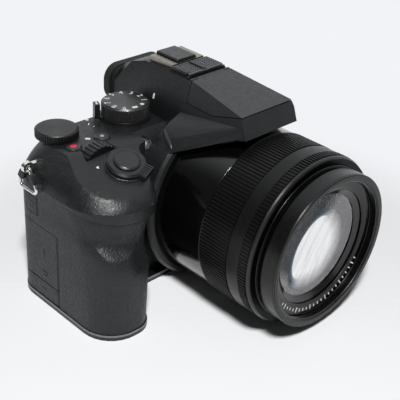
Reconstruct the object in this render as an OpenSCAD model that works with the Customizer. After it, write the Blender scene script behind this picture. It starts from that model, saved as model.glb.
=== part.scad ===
// Bridge camera: fixed superzoom lens, deep hand grip, viewfinder hump with pop-up flash, swing-out monitor.
// Origin at the mouth of the tripod socket, under the lens axis. +Z is up, the lens looks along -Y,
// the grip is on the -X side. Distances ahead of the origin (towards -Y) are called reach.

/* [Body] */
// Lens axis to the outer face of the grip side
grip_side = 84.2; // [82:0.1:88]
// Lens axis to the outer face of the free side
free_side = 53.4; // [52.5:0.1:58]
// Reach of the body's front face
body_front = 15; // [14:0.1:16]
// Origin back to the body's rear face
body_back = 21; // [20:0.1:23]
// How far the top cover's seam lies above the lens axis
seam_rise = 19.2; // [18:0.1:20]
// How far the top deck lies above the seam
deck_rise = 14.4; // [13:0.1:16]
// Thickness of the base plate
base_t = 2.8; // [2.4:0.1:3]
// How far the base plate stands ahead of the front face
base_lip = 4.7; // [3:0.1:6]
// How far the base plate stands proud of the casings
base_proud = 0.35; // [0:0.05:0.6]
// Wall of the casings
wall = 1.8; // [1.4:0.1:2]
// Origin back to the seam between the front shell and the rear cover
split_back = 13.5; // [13.2:0.1:14]
// Gap left between two fixed casings
seam_gap = 0.1; // [0.05:0.05:0.2]
// Radius of the rear corner on the grip side
rear_round = 12; // [9:0.5:13]

/* [Grip] */
// Reach of the grip's nose at the base
grip_reach = 46.2; // [45:0.1:49]
// Reach of the grip's nose at the top cover's seam
nose_reach = 42; // [40:0.1:44]
// How much further in from the lens axis the nose's inner corner lies than its reach
nose_lean = 8.8; // [8:0.1:10]
// How much further the grip's inner corner is drawn back below the nose's lip
waist_in = 3.5; // [1:0.1:4.5]
// How deep the finger hollow under the nose goes
finger_hollow = 3.4; // [0.5:0.1:4.5]
// Slope of the grip cover's upper edge down to the nose
skin_dip = 9.5; // [4:0.5:12]
// Thickness of the leatherette grip cover
skin_t = 1; // [0.8:0.1:1.2]

/* [Lens] */
// Height of the lens axis
axis_h = 41.8; // [41.6:0.1:43]
// Radius of the fixed barrel behind the rings
barrel_r = 40.2; // [39.8:0.1:40.5]
// How far the ribs of both rings stand above the barrel
ring_step = 0.5; // [0.4:0.1:0.8]
// Thickness of the rings, over their ribs
ring_t = 2.3; // [2.1:0.1:2.5]
// Wall of the tube that carries the rings
tube_t = 1.52; // [1.3:0.1:1.8]
// How far the front barrel stands ahead of the smooth band
bezel_out = 10.6; // [9:0.1:13]
// Running clearance of turning and sliding lens pieces, on the radius
run_gap = 0.08; // [0.05:0.01:0.1]
// Gap between the rings, end to end
ring_gap = 0.3; // [0.25:0.05:0.5]
// Length of bare barrel between the collar and the zoom ring
barrel_bare = 28; // [26:0.1:30]
// Width of the zoom ring
zoom_w = 16.7; // [14:0.1:18]
// Width of the focus ring
focus_w = 11.1; // [10:0.1:12]
// Width of the ribbed strip on the focus ring
focus_rib_w = 4.6; // [3:0.1:6]
// Ribs round each ring
rib_count = 152; // [60:4:160]
// Depth of the ribs
rib_depth = 0.55; // [0.3:0.05:0.8]
// Width of the smooth band ahead of the focus ring
band_w = 2; // [1.5:0.1:3]
// Wall of the front barrel round the filter thread
filter_wall = 3.3; // [3:0.1:3.6]
// Length of the filter thread
filter_len = 3.5; // [3:0.1:4]
// How far the front barrel runs out
barrel_travel = 18; // [10:0.5:20]
// How far the zoom lens group runs
group_travel = 14; // [8:0.5:15]
// Width of the collar round the barrel
collar_w = 4.6; // [4:0.1:5.5]
// How far the collar stands ahead of the body
collar_out = 13; // [11:0.1:15]

/* [Top controls] */
// Mode dial, place to the grip side of the hump's wall
mode_out = 10.9; // [10.7:0.1:11.7]
// Mode dial, place behind the origin
mode_y = 9.4; // [8:0.1:10]
// Mode dial radius
mode_r = 11.3; // [10:0.1:11.4]
// Mode dial height
mode_h = 6.3; // [5:0.1:8]
// Rear dial, place to the grip side
rear_dial_x = 64.8; // [63:0.1:66]
// Rear dial, place behind the origin
rear_dial_y = 13; // [12.8:0.1:13.6]
// Rear dial radius
rear_dial_r = 9.9; // [9:0.1:10]
// Rear dial height
rear_dial_h = 3.7; // [3:0.1:5]
// Drive dial, place to the free side
drive_x = 33; // [31:0.1:35]
// Drive dial radius
drive_r = 9.5; // [8:0.1:10]
// Drive dial height
drive_h = 5; // [4:0.1:6]
// Front dial, place to the grip side
front_dial_x = 58.5; // [57:0.1:60]
// Front dial, reach of its middle
front_dial_reach = 8.6; // [8.4:0.1:9.2]
// Front dial radius
front_dial_r = 11; // [9:0.1:11.5]
// How far the front dial stands out of the deck
front_dial_proud = 2.4; // [1.5:0.1:3]
// Front dial width
front_dial_w = 6.4; // [5:0.1:6.6]
// Shutter button radius
shutter_r = 5.9; // [5.5:0.1:6.1]
// Shutter button, place to the grip side
shutter_x = 54.3; // [53.5:0.1:55]
// Shutter button, reach
shutter_reach = 22.5; // [22:0.1:23]
// Drop of the shutter platform below the deck at the button
platform_drop = 4.2; // [3.8:0.1:4.6]
// Forward slope of the shutter platform
platform_slope = 17.5; // [16:0.5:19]
// Slope of the shutter platform to the grip side
platform_side_slope = 4.6; // [3:0.1:6]
// Outer radius of the zoom lever
lever_r = 9.2; // [8.8:0.1:9.4]
// Radius of the record button
record_r = 3.6; // [3:0.1:3.7]
// Radius of the function button
fn_r = 3.5; // [3:0.1:3.6]
// Clearance round buttons and dial stems
button_gap = 0.15; // [0.1:0.05:0.25]

/* [Hump] */
// Half width of the hump at its side crease
hump_half = 17.3; // [16.8:0.1:17.6]
// How far the flash front's lower edge lies above the lens rings
flash_clear = 2.9; // [2.4:0.1:4]
// Height of the flash front
flash_h = 9.2; // [8.4:0.1:10.5]
// Rise of the roof from the flash front to the lid's hinge
roof_rise = 4.6; // [4:0.1:5.5]
// How far the flash front overhangs the zoom ring's rear edge
flash_over = 1; // [0:0.1:2]
// Half width of the flash front
flash_half = 16.6; // [16:0.1:17]
// Gap round the flash lid
lid_gap = 0.4; // [0.4:0.05:0.5]
// Drop of the hot shoe's seat below the roof
shoe_drop = 2; // [1.8:0.1:2.2]
// Outer width of the hot shoe
shoe_w = 20; // [19.6:0.1:20.4]
// Length of the hot shoe
shoe_len = 15.7; // [15:0.1:16]
// Slot between the shoe's lips
shoe_slot = 12.6; // [12.4:0.1:12.8]
// Origin back to the rear face of the viewfinder hump
finder_back = 32; // [31:0.1:33]
// Depth of the eyecup behind the hump
eyecup_t = 5.7; // [4.5:0.1:7]

/* [Doors and monitor] */
// Gap round doors and covers
door_gap = 0.25; // [0.2:0.05:0.3]
// Card door width
door_w = 24.3; // [22:0.1:25]
// Card door lower edge
door_low = 12.2; // [12:0.1:13]
// Card door height
door_h = 28.8; // [26:0.1:30]
// Hinge knuckle radius of the side doors
knuckle_r = 1; // [0.9:0.05:1.1]
// Monitor width over its height
monitor_aspect = 1.52; // [1.45:0.01:1.53]
// Gap from the monitor's upper edge up to the top cover's seam
monitor_below = 5.8; // [5.4:0.1:9]
// Monitor thickness
monitor_t = 7.8; // [7:0.1:8]
// Gap round the monitor
monitor_gap = 0.3; // [0.25:0.05:0.4]
// Monitor lower edge
monitor_low = 4.2; // [4:0.1:4.4]
// Radius of the tripod screw thread, quarter inch
tripod_r = 3.175; // [3.1:0.005:3.3]
// Depth of the tripod socket's thread
tripod_depth = 5.5; // [4.5:0.1:6]

/* [Hidden] */
$fn = 48;
eps = 0.02;
far = 300;
casing_in = skin_t + wall;
arc_steps = 8;

// Main heights, reaches and radii that follow from the sizes above
ring_r = barrel_r + ring_step;
tube_r = ring_r - ring_t;
bore_r = tube_r - tube_t;
front_r = bore_r - run_gap;
filter_r = front_r - filter_wall;
collar_r = barrel_r + collar_w;
collar_reach = body_front + collar_out;
zoom_back = collar_reach + barrel_bare;
focus_back = zoom_back + zoom_w + ring_gap;
band_back = focus_back + focus_w + ring_gap;
lens_reach = band_back + band_w + bezel_out;
seam_h = axis_h + seam_rise;
deck_h = seam_h + deck_rise;
flash_low = axis_h + ring_r + flash_clear;
flash_top = flash_low + flash_h;
roof_h = flash_top + roof_rise;
flash_reach = zoom_back + flash_over;
shoe_seat = roof_h - shoe_drop;
mode_x = hump_half + mode_out;
monitor_h = seam_h - monitor_below - monitor_low;
monitor_w = monitor_aspect * monitor_h;

// Outline of the body seen from above
inner_r = 10;
front_round = 8;
free_round = 5;
function lerp(a, b, t) = a + (b - a) * t;
function clamp01(t) = max(0, min(1, t));
function unit(v) = v / norm(v);
function corner_arc(a, p, b, r) =
    let (
        d1 = unit(a - p),
        d2 = unit(b - p),
        th = acos(d1 * d2),
        c = p + unit(d1 + d2) * r / sin(th / 2),
        s = p + d1 * r / tan(th / 2) - c,
        sweep = (180 - th) * (cross(d1, d2) < 0 ? 1 : -1)
    )
    [for (k = [0:arc_steps])
        let (t = sweep * k / arc_steps)
        c + [s.x * cos(t) - s.y * sin(t), s.x * sin(t) + s.y * cos(t)]];
function flat(p) = [p.x, p.y];
function rounded(corners) =
    let (n = len(corners))
    [for (i = [0:n - 1])
        each corner_arc(flat(corners[(i + n - 1) % n]), flat(corners[i]), flat(corners[(i + 1) % n]),
            corners[i].z)];
function inset(pts, d) =
    let (n = len(pts))
    [for (i = [0:n - 1])
        let (t = unit(pts[(i + 1) % n] - pts[(i + n - 1) % n]))
        pts[i] + d * [-t.y, t.x]];
// Share of the way from the base up to the seam, and height above the seam
function rise(z) = clamp01((z - base_t) / (seam_h - base_t));
function above(z) = max(0, z - seam_h);
// How far the shoulder has rolled in at a height: at the nose, on the grip side, behind, on the free side
nose_roll_max = 18;
function nose_roll(z) = min(nose_roll_max, 0.45 * above(z) + 0.09 * pow(above(z), 2));
function side_roll(z) = 0.25 * above(z) + 0.05 * pow(above(z), 2);
function back_roll(z) = 0.12 * above(z) + 0.035 * pow(above(z), 2);
function free_roll(z) = 0.036 * pow(above(z), 2);
function reach(z) = lerp(grip_reach, nose_reach, pow(rise(z), 2)) - nose_roll(z);
// The grip's inner corner is drawn back below the lip of the nose
lip_h = 3.6;
function waist(z) = waist_in * clamp01((seam_h - lip_h - z) / lip_h);
// Finger hollow: it starts high on the outer side and sinks as it runs round to the inner side
hollow_axis = [-60, -15];
hollow_start = -165;
hollow_full = -112;
hollow_end = -25;
function hollow_share(a) = a < hollow_full
    ? clamp01((a - hollow_start) / (hollow_full - hollow_start))
    : clamp01((hollow_end - a) / 40);
function hollow_low(a)
    = seam_h * lerp(0.83, 0.55, clamp01((a - hollow_start) / (hollow_full + 15 - hollow_start)));
function hollow_in(p, z) =
    let (
        a = atan2(p.y - hollow_axis.y, p.x - hollow_axis.x),
        top = seam_h - lip_h,
        t = clamp01((z - hollow_low(a)) / (top - hollow_low(a)))
    )
    a < 0 ? finger_hollow * hollow_share(a) * sin(180 * pow(t, 0.8)) : 0;
function hollowed(pts, z) = [for (p = pts) p + hollow_in(p, z) * unit(hollow_axis - p)];
foot_in = 5.2;
foot_out = 3.3;
function body_ring(z) =
    let (
        front = z < base_t ? body_front + base_lip : body_front,
        nose = nose_roll(z),
        outer_x = -grip_side + side_roll(z),
        inner_x = -reach(z) - 0.7 * nose - nose_lean - waist(z),
        in_r = inner_r - 0.4 * nose,
        out_r = min(lerp(18, 26, rise(z)) - 0.9 * nose, inner_x - outer_x - in_r)
    )
    hollowed(rounded([
        [free_side - free_roll(z), body_back - 0.3 * back_roll(z), free_round],
        [-grip_side + back_roll(z), body_back - 0.3 * back_roll(z), rear_round],
        [outer_x, -reach(z), out_r],
        [inner_x, -reach(z), in_r],
        [-lerp(collar_r + foot_in, collar_r - foot_out, rise(z)), -front, 5],
        [free_side - free_roll(z), -front, front_round]
    ]), z);
// Solid skinned through stacked outlines; hub is a plan point that every outline point can be seen from
hub = [-60, -6];
module skin_stack(rings, heights) {
    n = len(rings[0]);
    m = len(rings);
    points = concat(
        [for (k = [0:m - 1]) for (p = rings[k]) [p.x, p.y, heights[k]]],
        [[hub.x, hub.y, heights[0]], [hub.x, hub.y, heights[m - 1]]]
    );
    sides = [for (k = [0:m - 2]) for (i = [0:n - 1])
        let (a = k * n + i, b = k * n + (i + 1) % n)
        each [[a, b + n, b], [a, a + n, b + n]]];
    caps = [for (i = [0:n - 1])
        let (j = (i + 1) % n)
        each [[n * m, i, j], [n * m + 1, (m - 1) * n + j, (m - 1) * n + i]]];
    polyhedron(points, concat(sides, caps), convexity = 6);
}
lower_steps = [0, 0.26, 0.52, 0.58, 0.64, 0.69, 0.742, 0.794, 0.845, 0.897, 0.94, 1];
module lower_body(d = 0) {
    heights = [for (t = lower_steps) lerp(base_t, seam_h, t)];
    skin_stack([for (z = heights) inset(body_ring(z), d)], heights);
}
upper_steps = [0, 0.1, 0.2, 0.31, 0.43, 0.56, 0.7, 0.85, 1];
shoulder_h = deck_rise + 2.6;
module upper_body(d = 0) {
    heights = [for (t = upper_steps) lerp(seam_h, seam_h + shoulder_h, t)];
    skin_stack([for (z = heights) inset(body_ring(z), d)], heights);
}
// Upright walls behind the grip, the same at every height
module rear_body(d = 0) {
    linear_extrude(seam_h) polygon(inset(body_ring(seam_h), d));
}
// Block between two corners
module block(lo, hi) {
    translate(lo) cube(hi - lo);
}
// Lens frame: local z is the reach along the lens axis
module on_lens() {
    translate([0, 0, axis_h]) rotate([90, 0, 0]) children();
}
module lens_rod(r, from, to) {
    on_lens() translate([0, 0, from]) cylinder(r = r, h = to - from);
}
// Shutter platform frame: local z stands square to the platform at the button
platform_tilt = [platform_slope, -platform_side_slope, 0];
module on_platform() {
    translate([-shutter_x, -shutter_reach, deck_h - platform_drop]) rotate(platform_tilt) children();
}
// Ribbed outline: teeth with flat tops
function toothed(r, depth, count) = [for (i = [0:count - 1]) for (q = [0, 0.25, 0.5, 0.75])
    let (a = 360 * (i + q) / count, k = q < 0.5 ? r : r - depth)
    k * [cos(a), sin(a)]];
module ring_2d(outer, inner) {
    difference() {
        circle(r = outer);
        circle(r = inner);
    }
}

// Casings
collar_clear = collar_r + seam_gap;
barrel_clear = barrel_r + 0.6;
card_lo = [0, split_back - 1.3 - door_w, door_low];
card_hi = [0, split_back - 1.3, door_low + door_h];
remote_lo = [0, 2.2, door_low + door_h + 5];
remote_hi = [0, card_hi.y - 1, door_low + door_h + 13.5];
dc_lo = [0, card_lo.y, base_t + 0.5];
dc_hi = [0, card_hi.y, door_low - 0.6];
port_lo = [0, -7, 14];
port_hi = [0, split_back - 3, 46];
leaf_t = 1.6;
ledge = 1.6;
// Room in front of a hinge for the outer face of a door that stands open
swing_room = 0.45;
// Hinge axes of the side doors: on the front edge, just under the outer face
function door_hinge(lo, side) = [side - sign(side) * (knuckle_r + 0.1), lo.y + knuckle_r];
// Opening cut for a door: its rebate, its hinge groove, and the way through behind it
module door_cut(lo, hi, side) {
    g = door_gap;
    hinge = door_hinge(lo, side);
    in = -sign(side);
    a = side + in * (leaf_t + g);
    b = side + in * (casing_in + 2);
    block([min(a, side - in * 2), hinge.y, lo.z - g], [max(a, side - in * 2), hi.y + g, hi.z + g]);
    translate([hinge.x, hinge.y, lo.z - g]) cylinder(r = knuckle_r + g, h = hi.z - lo.z + 2 * g);
    block([min(hinge.x, side - in * 2), hinge.y - knuckle_r - swing_room, lo.z - g],
        [max(hinge.x, side - in * 2), hinge.y + eps, hi.z + g]);
    block([min(b, side), lo.y + 3 * ledge, lo.z + ledge], [max(b, side), hi.y - ledge, hi.z - ledge]);
}
// Door leaf: slice of the body's own wall with a round knuckle on its hinge edge
module door_leaf(lo, hi, side) {
    hinge = door_hinge(lo, side);
    inner = side - sign(side) * leaf_t;
    intersection() {
        rear_body();
        union() {
            block([min(inner, side * 2), hinge.y, lo.z], [max(inner, side * 2), hi.y, hi.z]);
            translate([hinge.x, hinge.y, lo.z]) cylinder(r = knuckle_r, h = hi.z - lo.z);
        }
    }
}
// Zone of the grip cover: its upper edge dips towards the nose and leaves a bare lip there
skin_edge = collar_r + 2.2;
dip_from = -12;
module skin_zone(extra = 0) {
    intersection() {
        block([-far, -far, base_t - 1], [-skin_edge + extra, split_back + extra, seam_h + 1]);
        translate([0, dip_from, seam_h + extra]) rotate([skin_dip, 0, 0]) block([-far, -far, -far],
            [far, far, 0]);
    }
}
module grip_openings() {
    door_cut(card_lo, card_hi, -grip_side);
    door_cut(remote_lo, remote_hi, -grip_side);
    door_cut(dc_lo, dc_hi, -grip_side);
}
module front_shell() color("#1b1c1e") difference() {
    intersection() {
        union() {
            lower_body(skin_t + seam_gap / 2);
            difference() {
                lower_body();
                skin_zone(seam_gap);
            }
        }
        block([-far, -far, base_t + seam_gap / 2], [far, split_back - seam_gap / 2, seam_h - seam_gap / 2]);
    }
    lower_body(casing_in);
    lens_rod(root_r + seam_gap, 0, far);
    lens_rod(collar_clear, body_front, far);
    grip_openings();
    door_cut(port_lo, port_hi, free_side);
}
module grip_skin() color("#2a2b2d") difference() {
    intersection() {
        lower_body();
        skin_zone();
        block([-far, -far, base_t + seam_gap / 2], [far, split_back - seam_gap / 2, seam_h - seam_gap / 2]);
    }
    lower_body(skin_t);
    lens_rod(collar_clear, body_front, far);
    grip_openings();
}
module base_plate() color("#232425") difference() {
    linear_extrude(base_t) polygon(inset(body_ring(0), -base_proud));
    battery_cut();
    translate([0, 0, -1]) cylinder(r = socket_r + seam_gap, h = base_t + 2);
    for (p = screw_places) translate([p.x, p.y, -1])
        cylinder(r = screw_head_r + 0.1, h = 1 + screw_head_top);
    screw_bores(0.1);
    battery_pin(0.05);
    lens_rod(barrel_r + 0.4, body_front, far);
}
// Rear cover with the sunk bay of the monitor
monitor_hinge_x = free_side - free_round + 1;
monitor_hinge_y = body_back + 0.3;
monitor_knuckle = 1.6;
bay_lo = [
    monitor_hinge_x - 0.1 - monitor_w - 2 * monitor_gap,
    body_back - monitor_t - 2 * monitor_gap,
    monitor_low - monitor_gap
];
bay_hi = [monitor_hinge_x - 0.1, far, monitor_low + monitor_h + monitor_gap];
bay_wall = 1.2;
monitor_pin_r = 0.8;
ear_len = 6;
module rear_cover() color("#1b1c1e") difference() {
    union() {
        difference() {
            intersection() {
                rear_body();
                block([-far, split_back + seam_gap / 2, base_t + seam_gap / 2],
                    [far, far, seam_h - seam_gap / 2]);
            }
            rear_body(casing_in);
        }
        intersection() {
            rear_body();
            block([bay_lo.x - bay_wall, bay_lo.y - bay_wall, base_t + seam_gap / 2],
                [bay_hi.x + bay_wall, far, seam_h - seam_gap / 2]);
        }
        for (z = [monitor_low - 0.2, monitor_low + monitor_h - ear_len])
            translate([0, 0, z]) {
                translate([monitor_hinge_x, monitor_hinge_y, 0]) cylinder(r = monitor_knuckle, h = ear_len);
                block([monitor_hinge_x, monitor_hinge_y - 3, 0],
                    [monitor_hinge_x + monitor_knuckle, monitor_hinge_y, ear_len]);
            }
    }
    difference() {
        block(bay_lo, bay_hi);
        for (z = [monitor_low - 0.2, monitor_low + monitor_h - ear_len])
            translate([monitor_hinge_x, monitor_hinge_y, z]) cylinder(r = monitor_knuckle, h = ear_len);
    }
    translate([monitor_hinge_x, monitor_hinge_y, monitor_low + ear_len - 0.2 + eps])
        cylinder(r = monitor_knuckle + monitor_gap, h = monitor_h - 2 * ear_len + 0.2 - 2 * eps);
    monitor_pin(0.02);
    for (b = rear_buttons) rear_hole(b, button_gap);
    screw_bores(bore_fit);
}

// Top cover: deck, shutter platform, shoulders and hump
panel_low = deck_h - 8.9;
module below_deck(drop = 0) {
    intersection() {
        block([-far, -far, 0], [far, far, deck_h - drop]);
        on_platform() translate([0, 0, -far - drop]) translate([-far, -far, 0])
            cube([2 * far, 2 * far, far]);
    }
}
module deck_bound(drop = 0) {
    below_deck(drop);
    block([-shutter_x + 17.5, -body_front, 0], [far, far, deck_h - drop]);
}
// Sloped panel between the nose and the hump, on both shoulders
module panel_cut(extra = 0) {
    translate([0, -body_front + 0.5 + extra, panel_low]) rotate([45, 0, 0])
        block([-shutter_x + 17.5, -far, 0], [far, far, far]);
}
module deck_solid() {
    difference() {
        intersection() {
            upper_body();
            deck_bound();
        }
        panel_cut();
    }
}
// Hump stations along the lens axis: y, half width and height at the foot, the crease and the roof edge
hump_foot = deck_h - 13.4;
crease_h = deck_h + 7.6;
flash_crease = flash_low + 5.9;
function hump_stations() = [
    [finder_back, hump_half - 0.9, hump_foot + 8, hump_half - 0.9, crease_h, 9.6, roof_h - 9],
    [finder_back - 7, hump_half - 1.3, hump_foot + 4, hump_half - 1.3, crease_h + 1.5, 11.2, roof_h - 5],
    [14.5, hump_half - 1.5, hump_foot + 2, hump_half - 1.5, crease_h + 1, 11.6, shoe_seat + 0.6],
    [-2.5, hump_half - 1, hump_foot, hump_half - 1, crease_h - 1, 11.8, roof_h - 0.3],
    [-15, hump_half + 1, hump_foot, hump_half, crease_h - 3, 12, roof_h],
    [-flash_reach + 4.2, flash_half + 0.4, flash_low - 1.5, hump_half - 0.3, flash_crease,
        flash_half - 0.6, flash_top],
    [-flash_reach - 0.5, flash_half, flash_low - 0.1, flash_half + 0.2, flash_crease,
        flash_half - 0.4, flash_top - 0.3]
];
module hump_solid() {
    st = hump_stations();
    m = len(st);
    n = 6;
    points = [for (s = st) each [
        [-s[1], s[0], s[2]], [-s[3], s[0], s[4]], [-s[5], s[0], s[6]],
        [s[5], s[0], s[6]], [s[3], s[0], s[4]], [s[1], s[0], s[2]]]];
    sides = [for (k = [0:m - 2]) for (i = [0:n - 1])
        let (a = k * n + i, b = k * n + (i + 1) % n)
        each [[a, b, b + n], [a, b + n, a + n]]];
    last = (m - 1) * n;
    caps = [for (i = [1:n - 2]) each [[0, i + 1, i], [last, last + i, last + i + 1]]];
    difference() {
        polyhedron(points, concat(sides, caps), convexity = 4);
        flash_front_cut();
    }
}
// The flash front leans back from its lower edge
front_lean = 23;
module flash_front_cut() {
    translate([0, -flash_reach, flash_low]) rotate([-front_lean, 0, 0]) block([-far, -far, -far],
        [far, 0, far]);
}
// Skirt that sweeps from the collar up to the flash front
skirt_low = deck_h - 3.4;
module skirt_solid() {
    hull() {
        intersection() {
            lens_rod(collar_r, body_front + 0.5, collar_reach - 1.5);
            block([-far, -far, skirt_low + seam_gap], [far, far, far]);
        }
        translate([0, -flash_reach + 2.4, flash_low + 0.1])
            block([-flash_half, 0, 0], [flash_half, 1, 5]);
    }
}
// Flash lid: wedge of the roof, hinged along its rear edge
lid_back = 15.4;
lid_axis = [-lid_back - 1.2, roof_h - 1.35];
lid_knuckle = 1.1;
lid_knuckle_half = 8.5;
lid_edge = lid_axis.x - 1.6;
lid_low = roof_h - 10.4;
lid_pin_r = 0.6;
lid_pin_half = 11.2;
module lid_wedge(g = 0) {
    rotate([90, 0, 90]) translate([0, 0, -far / 2]) linear_extrude(far)
        polygon([
            [lid_edge + g, roof_h + 3], [-flash_reach - 3, roof_h + 3],
                [-flash_reach - 3, flash_top - 0.2 - g],
            [-flash_reach + 4.4, flash_top - 0.2 - g], [-flash_reach + 21.5, lid_low + 0.4 - g],
                [lid_edge + g, lid_low - g]
        ]);
    block([-lid_knuckle_half - g, lid_edge - 1, lid_axis.y - lid_knuckle - g],
        [lid_knuckle_half + g, lid_axis.x, roof_h + 3]);
    lid_rod(lid_knuckle + g, lid_knuckle_half + g);
}
module lid_rod(r, half) {
    translate([-half, lid_axis.x, lid_axis.y]) rotate([0, 90, 0]) cylinder(r = r, h = 2 * half);
}
flash_bay_half = 12.6;
module flash_bay() {
    block([-flash_bay_half, -flash_reach + 6.2, flash_low], [flash_bay_half, lid_edge - 2.4, roof_h - 3.2]);
}
finder_half = 12.3;
finder_low = deck_h - 5.4;
finder_high = roof_h - 12.6;
module top_cover() color("#1d1e20") difference() {
    union() {
        deck_solid();
        hump_solid();
        skirt_solid();
        translate([-mode_x, mode_y, deck_h - 1]) cylinder(r = mode_r + 0.8, h = 1.9);
        front_dial_ears();
    }
    difference() {
        intersection() {
            upper_body(wall);
            deck_bound(wall * 1.1);
        }
        panel_cut(wall * 1.4);
        front_dial_ears();
        block([-finder_half - 1.5, -body_front, finder_low - 2.6], [finder_half + 1.5, far, far]);
    }
    block([-far, -far, -far], [far, far, seam_h + seam_gap / 2]);
    lens_rod(root_r + seam_gap, 0, far);
    lens_rod(barrel_clear, flange_reach - seam_gap, far);
    intersection() {
        lens_rod(collar_clear, body_front, collar_reach + seam_gap);
        block([-far, -far, 0], [far, far, skirt_low + seam_gap]);
    }
    lens_rod(ring_r + 1.2, zoom_back - 1.5, far);
    block([-finder_half, -3, finder_low], [finder_half, far, finder_high]);
    lid_wedge(lid_gap);
    flash_bay();
    lid_rod(lid_pin_r + 0.02, lid_pin_half + 0.2);
    block([-shoe_w / 2 - seam_gap, shoe_y - seam_gap, shoe_seat],
        [shoe_w / 2 + seam_gap, shoe_y + shoe_len + 12, far]);
    block([-far, lid_axis.x, grille_seat], [far, shoe_y, far]);
    stem_hole(-mode_x, mode_y, dial_stem_r + button_gap);
    stem_hole(-rear_dial_x, rear_dial_y, dial_stem_r + button_gap);
    stem_hole(drive_x, mode_y, dial_stem_r + button_gap);
    stem_hole(-record_place.x, record_place.y, record_r + button_gap);
    stem_hole(-fn_place.x, fn_place.y, fn_r + button_gap);
    on_platform() translate([0, 0, -far / 2]) cylinder(r = lever_spigot_r + button_gap, h = far);
    front_dial_slot();
    on_panel() translate([0, 0, -lamp_depth]) cylinder(r = lamp_r + seam_gap, h = far);
    lug_holes();
    on_flash_button() translate([0, 0, -4]) cylinder(r = flash_button_r + button_gap, h = far);
    translate([finder_half, diopter_y, diopter_z]) rotate([0, 90, 0])
        cylinder(r = diopter_stem_r + button_gap, h = far);
}
module stem_hole(x, y, r) {
    translate([x, y, seam_h + 8]) cylinder(r = r, h = far);
}
module lens_collar() color("#191a1b") intersection() {
    on_lens() rotate_extrude() polygon([
        [root_r + seam_gap, body_front + seam_gap], [collar_r, body_front + seam_gap],
        [collar_r, collar_reach - 1.6], [collar_r - 1.2, collar_reach - 0.4],
            [barrel_r + 1.5, collar_reach],
        [barrel_r + seam_gap, collar_reach - 0.6], [barrel_r + seam_gap, flange_reach],
        [root_r + seam_gap, flange_reach]
    ]);
    block([-far, -far, base_t + seam_gap], [far, far, skirt_low]);
}

// Lens
inner_bore = front_r - 2.8;
root_r = inner_bore - 4;
root_bore = root_r - 3;
flange_reach = body_front + 1.6;
chassis_y = -body_front + casing_in;
module lens_barrel() color("#0c0c0d") on_lens() rotate_extrude() polygon([
    [root_bore, -chassis_y], [root_r, -chassis_y], [root_r, flange_reach], [barrel_r, flange_reach],
    [barrel_r, zoom_back - ring_gap], [tube_r, zoom_back - ring_gap], [tube_r, band_back],
        [bore_r, band_back],
    [bore_r, zoom_back + 2], [inner_bore, zoom_back + 2], [inner_bore, flange_reach + 2],
    [root_bore, flange_reach + 2]
]);
module front_band() color("#3a3b3d") on_lens() rotate_extrude() polygon([
    [bore_r, band_back], [ring_r - 0.1, band_back], [ring_r - 0.5, band_back + 0.5 * band_w],
    [ring_r - 1.6, band_back + 0.85 * band_w], [front_r + 1, band_back + band_w],
        [bore_r, band_back + band_w]
]);
module zoom_ring() color("#151617") on_lens() translate([0, 0, zoom_back]) difference() {
    union() {
        linear_extrude(zoom_w) circle(r = ring_r - rib_depth);
        translate([0, 0, 0.5]) linear_extrude(zoom_w - 1)
            polygon(toothed(ring_r, rib_depth + 0.1, rib_count));
    }
    translate([0, 0, -1]) cylinder(r = tube_r + run_gap, h = zoom_w + 2);
}
module focus_ring() color("#222325") on_lens() translate([0, 0, focus_back]) difference() {
    union() {
        linear_extrude(focus_w - focus_rib_w) circle(r = ring_r - 0.15);
        linear_extrude(focus_w) circle(r = ring_r - rib_depth);
        translate([0, 0, focus_w - focus_rib_w]) linear_extrude(focus_rib_w - 0.4)
            polygon(toothed(ring_r, rib_depth + 0.1, rib_count));
    }
    translate([0, 0, -1]) cylinder(r = tube_r + run_gap, h = focus_w + 2);
}
sleeve_back = zoom_back + 6;
cell_reach = lens_reach - 13;
liner_r = filter_r - 0.9;
cell_r = liner_r - 5;
module front_barrel() color("#1a1a1b") on_lens() rotate_extrude() polygon([
    [inner_bore + 1, sleeve_back], [front_r, sleeve_back], [front_r, lens_reach - 10.2],
    [front_r - 1, lens_reach - 10.2], [front_r - 1, lens_reach - 7.7], [front_r, lens_reach - 7.7],
    [front_r, lens_reach - 0.8], [front_r - 0.6, lens_reach], [filter_r + 0.7, lens_reach],
    [filter_r, lens_reach - 0.5], [filter_r, lens_reach - filter_len - 0.5],
        [liner_r, lens_reach - filter_len - 0.5],
    [liner_r, cell_reach], [cell_r - 2.4, cell_reach], [cell_r - 2.4, cell_reach - 3],
        [inner_bore + 1, cell_reach - 3]
]);
trim_in = cell_r - 2.6;
module front_trim() color("#101011") on_lens() rotate_extrude() polygon([
    [liner_r - 0.1, cell_reach + 4.8], [liner_r - 0.1, lens_reach - filter_len - 0.6],
    [liner_r - 1.2, lens_reach - filter_len - 0.6], [trim_in, cell_reach + 5.8], [trim_in, cell_reach + 4.8]
]);
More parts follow.
